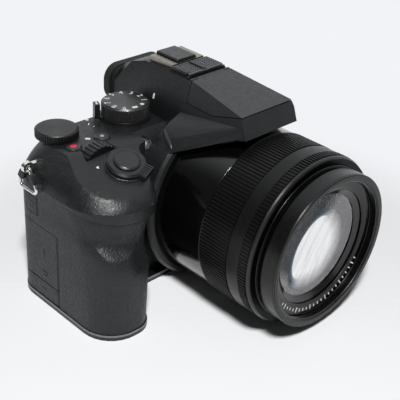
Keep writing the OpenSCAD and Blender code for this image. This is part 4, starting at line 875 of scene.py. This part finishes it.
def side_details():
    """Plain raised marks on the doors and covers, thumb pad and signs on the back."""
    bar = rounded_box(4.2, 0.7, 0.3)
    decal("card_door_mark", "card_door", "body",
          [(rounded_box(1.3, 4.6, 0.6), seat("card_door", (GRIP_FAR, -0.9, 27.6), FROM_GRIP)),
           (rounded_box(4.4, 0.7, 0.3), seat("card_door", (GRIP_FAR, -1.5, 17.4), FROM_GRIP)),
           (rounded_box(2.6, 0.7, 0.3), seat("card_door", (GRIP_FAR, -1.5, 15.6), FROM_GRIP))], 0.22, 0.1)
    decal("remote_cover_mark", "remote_cover", "body",
          [(bar, seat("remote_cover", (GRIP_FAR, 6.4, 51.0), FROM_GRIP)),
           (rounded_box(2.0, 0.6, 0.25), seat("remote_cover", (GRIP_FAR, 6.4, 48.6), FROM_GRIP))], 0.16, 0.08)
    decal("dc_cover_mark", "dc_cover", "body",
          [(bar, seat("dc_cover", (GRIP_FAR, 0.0, 7.4), FROM_GRIP))], 0.16, 0.08)
    decal("port_cover_mark", "port_cover", "control",
          [(rounded_box(4.6, 0.8, 0.35), seat("port_cover", (FREE_FAR, 2.0, z), FROM_FREE)) for z in (40.5, 38.6)],
          0.16, 0.08)

    bm = bmesh.new()
    add_prism(bm, rounded_box(14, 9, 3.2, 6), -0.4, 0.9, seat("rear_cover", (-62, BACK_FAR, 50), FROM_BACK))
    link("thumb_pad", bm, ROOT, "grip", 0.45)

    play = [(-0.7, -0.8), (0.8, 0), (-0.7, 0.8)]
    decal("play_mark", "play_button", "white",
          [(play, seat("play_button", (-38, BACK_FAR, 33), FROM_BACK))], 0.04)
    decal("lock_mark", "lock_button", "white",
          [(rounded_box(0.4, 1.4, 0.15, 2), seat("lock_button", (-41 + dx, BACK_FAR, 46.5), FROM_BACK))
           for dx in (-0.5, 0.5)], 0.04)
    arrow = [(-0.7, -0.4), (0.7, -0.4), (0, 0.6)]
    marks = []
    for angle in (0, 90, 180, 270):
        x = PAD_CENTRE[0] - PAD_MARK_R * math.sin(math.radians(angle))
        z = PAD_CENTRE[1] + PAD_MARK_R * math.cos(math.radians(angle))
        marks.append((arrow, seat("pad_ring", (x, BACK_FAR, z), FROM_BACK, spin=angle)))
    decal("pad_marks", "pad_ring", "white", marks, 0.04)


def mic_details():
    """Two pads of perforated sheet on the grille, their holes near-black discs of painted shade, and the smooth
    lobes beside them.
    """
    pads, holes, lobes = bmesh.new(), bmesh.new(), bmesh.new()
    pad_y, pad_z, pitch = -8.75, 100.1, 1.45
    for x in (-5.7, 5.9):
        add_prism(pads, rounded_box(10.4, 11.4, 0.8), -0.3, 0.3, shift(x, pad_y, pad_z))
        for k in range(-3, 4):
            for i in range(-3, 4):
                add_prism(holes, disc(0.48, 12), -0.1, 0.03, shift(x + pitch * i, pad_y + pitch * k, pad_z + 0.3))
    arc = [math.radians(a) for a in range(-90, 91, 12)]
    for x, reach in ((-11.9, 4.4), (-1.3, 3.6)):
        outline = [(reach * math.cos(a), 5.0 * math.sin(a)) for a in arc]
        add_prism(lobes, [(-0.5, -5.0)] + outline + [(-0.5, 5.0)], -0.4, 1.15, shift(x, -9.0, pad_z))
    link("mic_pads", pads, ROOT, "mesh", 0.2)
    link("mic_holes", holes, ROOT, "hole")
    link("mic_lobes", lobes, ROOT, "deck", 0.4)


lens_details()
deck_details()
mic_details()
grip_cover()
strap_guards()
side_details()


# Stage: pale floor, white backdrop, one soft box; sizes in metres
BACKDROP_WAY = (0.76, 0.48, 0.44)
AMBIENT, DIM_ROOM = 0.05, 0.09
FLOOR_CENTRE = (-0.015, -0.045, 0)
FLOOR_HALF = 40.0
LIT_RADIUS = (0.105, 0.19)
AIM = (-0.02, -0.03, 0.05)
KEY_PLACE, KEY_SIZE, KEY_WATTS = (-0.43, -0.49, 0.95), 0.14, 12.6


def seen_rays(tree):
    """1 for rays of the camera, of gloss and of glass, so that these see the pale surroundings."""
    path = tree.nodes.new("ShaderNodeLightPath")
    total = path.outputs["Is Camera Ray"]
    for name in ("Is Glossy Ray", "Is Transmission Ray"):
        add = tree.nodes.new("ShaderNodeMath")
        add.operation = "MAXIMUM"
        tree.links.new(total, add.inputs[0])
        tree.links.new(path.outputs[name], add.inputs[1])
        total = add.outputs["Value"]
    return total


def map_range(tree, source, low, high, start, end):
    """Number that goes smoothly from low to high while the source goes from start to end."""
    node = tree.nodes.new("ShaderNodeMapRange")
    node.interpolation_type = "SMOOTHSTEP"
    for key, value in zip(("From Min", "From Max", "To Min", "To Max"), (start, end, low, high)):
        node.inputs[key].default_value = value
    tree.links.new(source, node.inputs["Value"])
    return node.outputs["Result"]


def make_world():
    """White backdrop behind the object, a dim room on the camera's side, low even ambient light."""
    world = bpy.data.worlds.new("studio")
    bpy.context.scene.world = world
    world.use_nodes = True
    tree = world.node_tree
    tree.nodes.clear()
    coord = tree.nodes.new("ShaderNodeTexCoord")
    facing = tree.nodes.new("ShaderNodeVectorMath")
    facing.operation = "DOT_PRODUCT"
    facing.inputs[1].default_value = BACKDROP_WAY
    tree.links.new(coord.outputs["Generated"], facing.inputs[0])
    soft, seen = (tree.nodes.new("ShaderNodeBackground") for _ in range(2))
    soft.inputs["Color"].default_value = (0.95, 0.97, 1.0, 1)
    soft.inputs["Strength"].default_value = AMBIENT
    seen.inputs["Color"].default_value = (0.94, 0.975, 1, 1)
    tree.links.new(map_range(tree, facing.outputs["Value"], DIM_ROOM, 1.0, 0.05, 0.7), seen.inputs["Strength"])
    mix = tree.nodes.new("ShaderNodeMixShader")
    out = tree.nodes.new("ShaderNodeOutputWorld")
    tree.links.new(seen_rays(tree), mix.inputs["Fac"])
    tree.links.new(soft.outputs[0], mix.inputs[1])
    tree.links.new(seen.outputs[0], mix.inputs[2])
    tree.links.new(mix.outputs[0], out.inputs["Surface"])


def make_floor():
    """Pale paper: lit and shaded near the object, an even pale tone further out."""
    mesh = bpy.data.meshes.new("floor")
    bm = bmesh.new()
    bmesh.ops.create_grid(bm, x_segments=8, y_segments=8, size=FLOOR_HALF)
    bm.to_mesh(mesh)
    bm.free()
    floor = bpy.data.objects.new("floor", mesh)
    bpy.context.scene.collection.objects.link(floor)
    floor.location.z = -0.0001
    material = bpy.data.materials.new("floor_paper")
    material.use_nodes = True
    tree = material.node_tree
    bsdf = tree.nodes["Principled BSDF"]
    bsdf.inputs["Base Color"].default_value = (0.95, 0.96, 0.975, 1)
    bsdf.inputs["Roughness"].default_value = 0.9
    bsdf.inputs["Specular IOR Level"].default_value = 0.1
    glow = tree.nodes.new("ShaderNodeEmission")
    glow.inputs["Color"].default_value = (0.88, 0.895, 0.92, 1)
    glow.inputs["Strength"].default_value = 1.0
    coord = tree.nodes.new("ShaderNodeTexCoord")
    length = tree.nodes.new("ShaderNodeVectorMath")
    length.operation = "DISTANCE"
    length.inputs[1].default_value = FLOOR_CENTRE
    tree.links.new(coord.outputs["Object"], length.inputs[0])
    scale = tree.nodes.new("ShaderNodeMath")
    scale.operation = "MULTIPLY"
    tree.links.new(map_range(tree, length.outputs["Value"], 0.0, 1.0, *LIT_RADIUS), scale.inputs[0])
    tree.links.new(seen_rays(tree), scale.inputs[1])
    mix = tree.nodes.new("ShaderNodeMixShader")
    tree.links.new(scale.outputs["Value"], mix.inputs["Fac"])
    tree.links.new(bsdf.outputs["BSDF"], mix.inputs[1])
    tree.links.new(glow.outputs["Emission"], mix.inputs[2])
    tree.links.new(mix.outputs["Shader"], tree.nodes["Material Output"].inputs["Surface"])
    mesh.materials.append(material)


def soft_box(name, place, aim, size, power):
    """Square area lamp that faces a point."""
    lamp = bpy.data.lights.new(name, "AREA")
    lamp.shape = "SQUARE"
    lamp.size = size
    lamp.energy = power
    obj = bpy.data.objects.new(name, lamp)
    bpy.context.scene.collection.objects.link(obj)
    obj.location = place
    obj.rotation_euler = (Vector(aim) - Vector(place)).to_track_quat("-Z", "Y").to_euler()


def make_camera():
    """Camera at the photograph's viewpoint."""
    a, e, r = (math.radians(v) for v in (AZIMUTH, ELEVATION, ROLL))
    back = Vector((math.sin(a) * math.cos(e), -math.cos(a) * math.cos(e), math.sin(e)))
    right = Vector((0, 0, 1)).cross(back).normalized()
    up = back.cross(right)
    right, up = math.cos(r) * right + math.sin(r) * up, math.cos(r) * up - math.sin(r) * right
    data = bpy.data.cameras.new("photo_view")
    data.sensor_fit = "HORIZONTAL"
    data.sensor_width = SENSOR_MM
    data.lens = FOCAL_PX / FRAME_PX * SENSOR_MM
    data.clip_start = 0.01
    camera = bpy.data.objects.new("photo_view", data)
    bpy.context.scene.collection.objects.link(camera)
    axes = Matrix((right, up, back)).transposed()
    camera.matrix_world = Matrix.Translation(EYE) @ axes.to_4x4()
    bpy.context.scene.camera = camera


make_world()
make_floor()
make_camera()
soft_box("key", KEY_PLACE, AIM, KEY_SIZE, KEY_WATTS)
bpy.context.scene.view_settings.view_transform = "Standard"
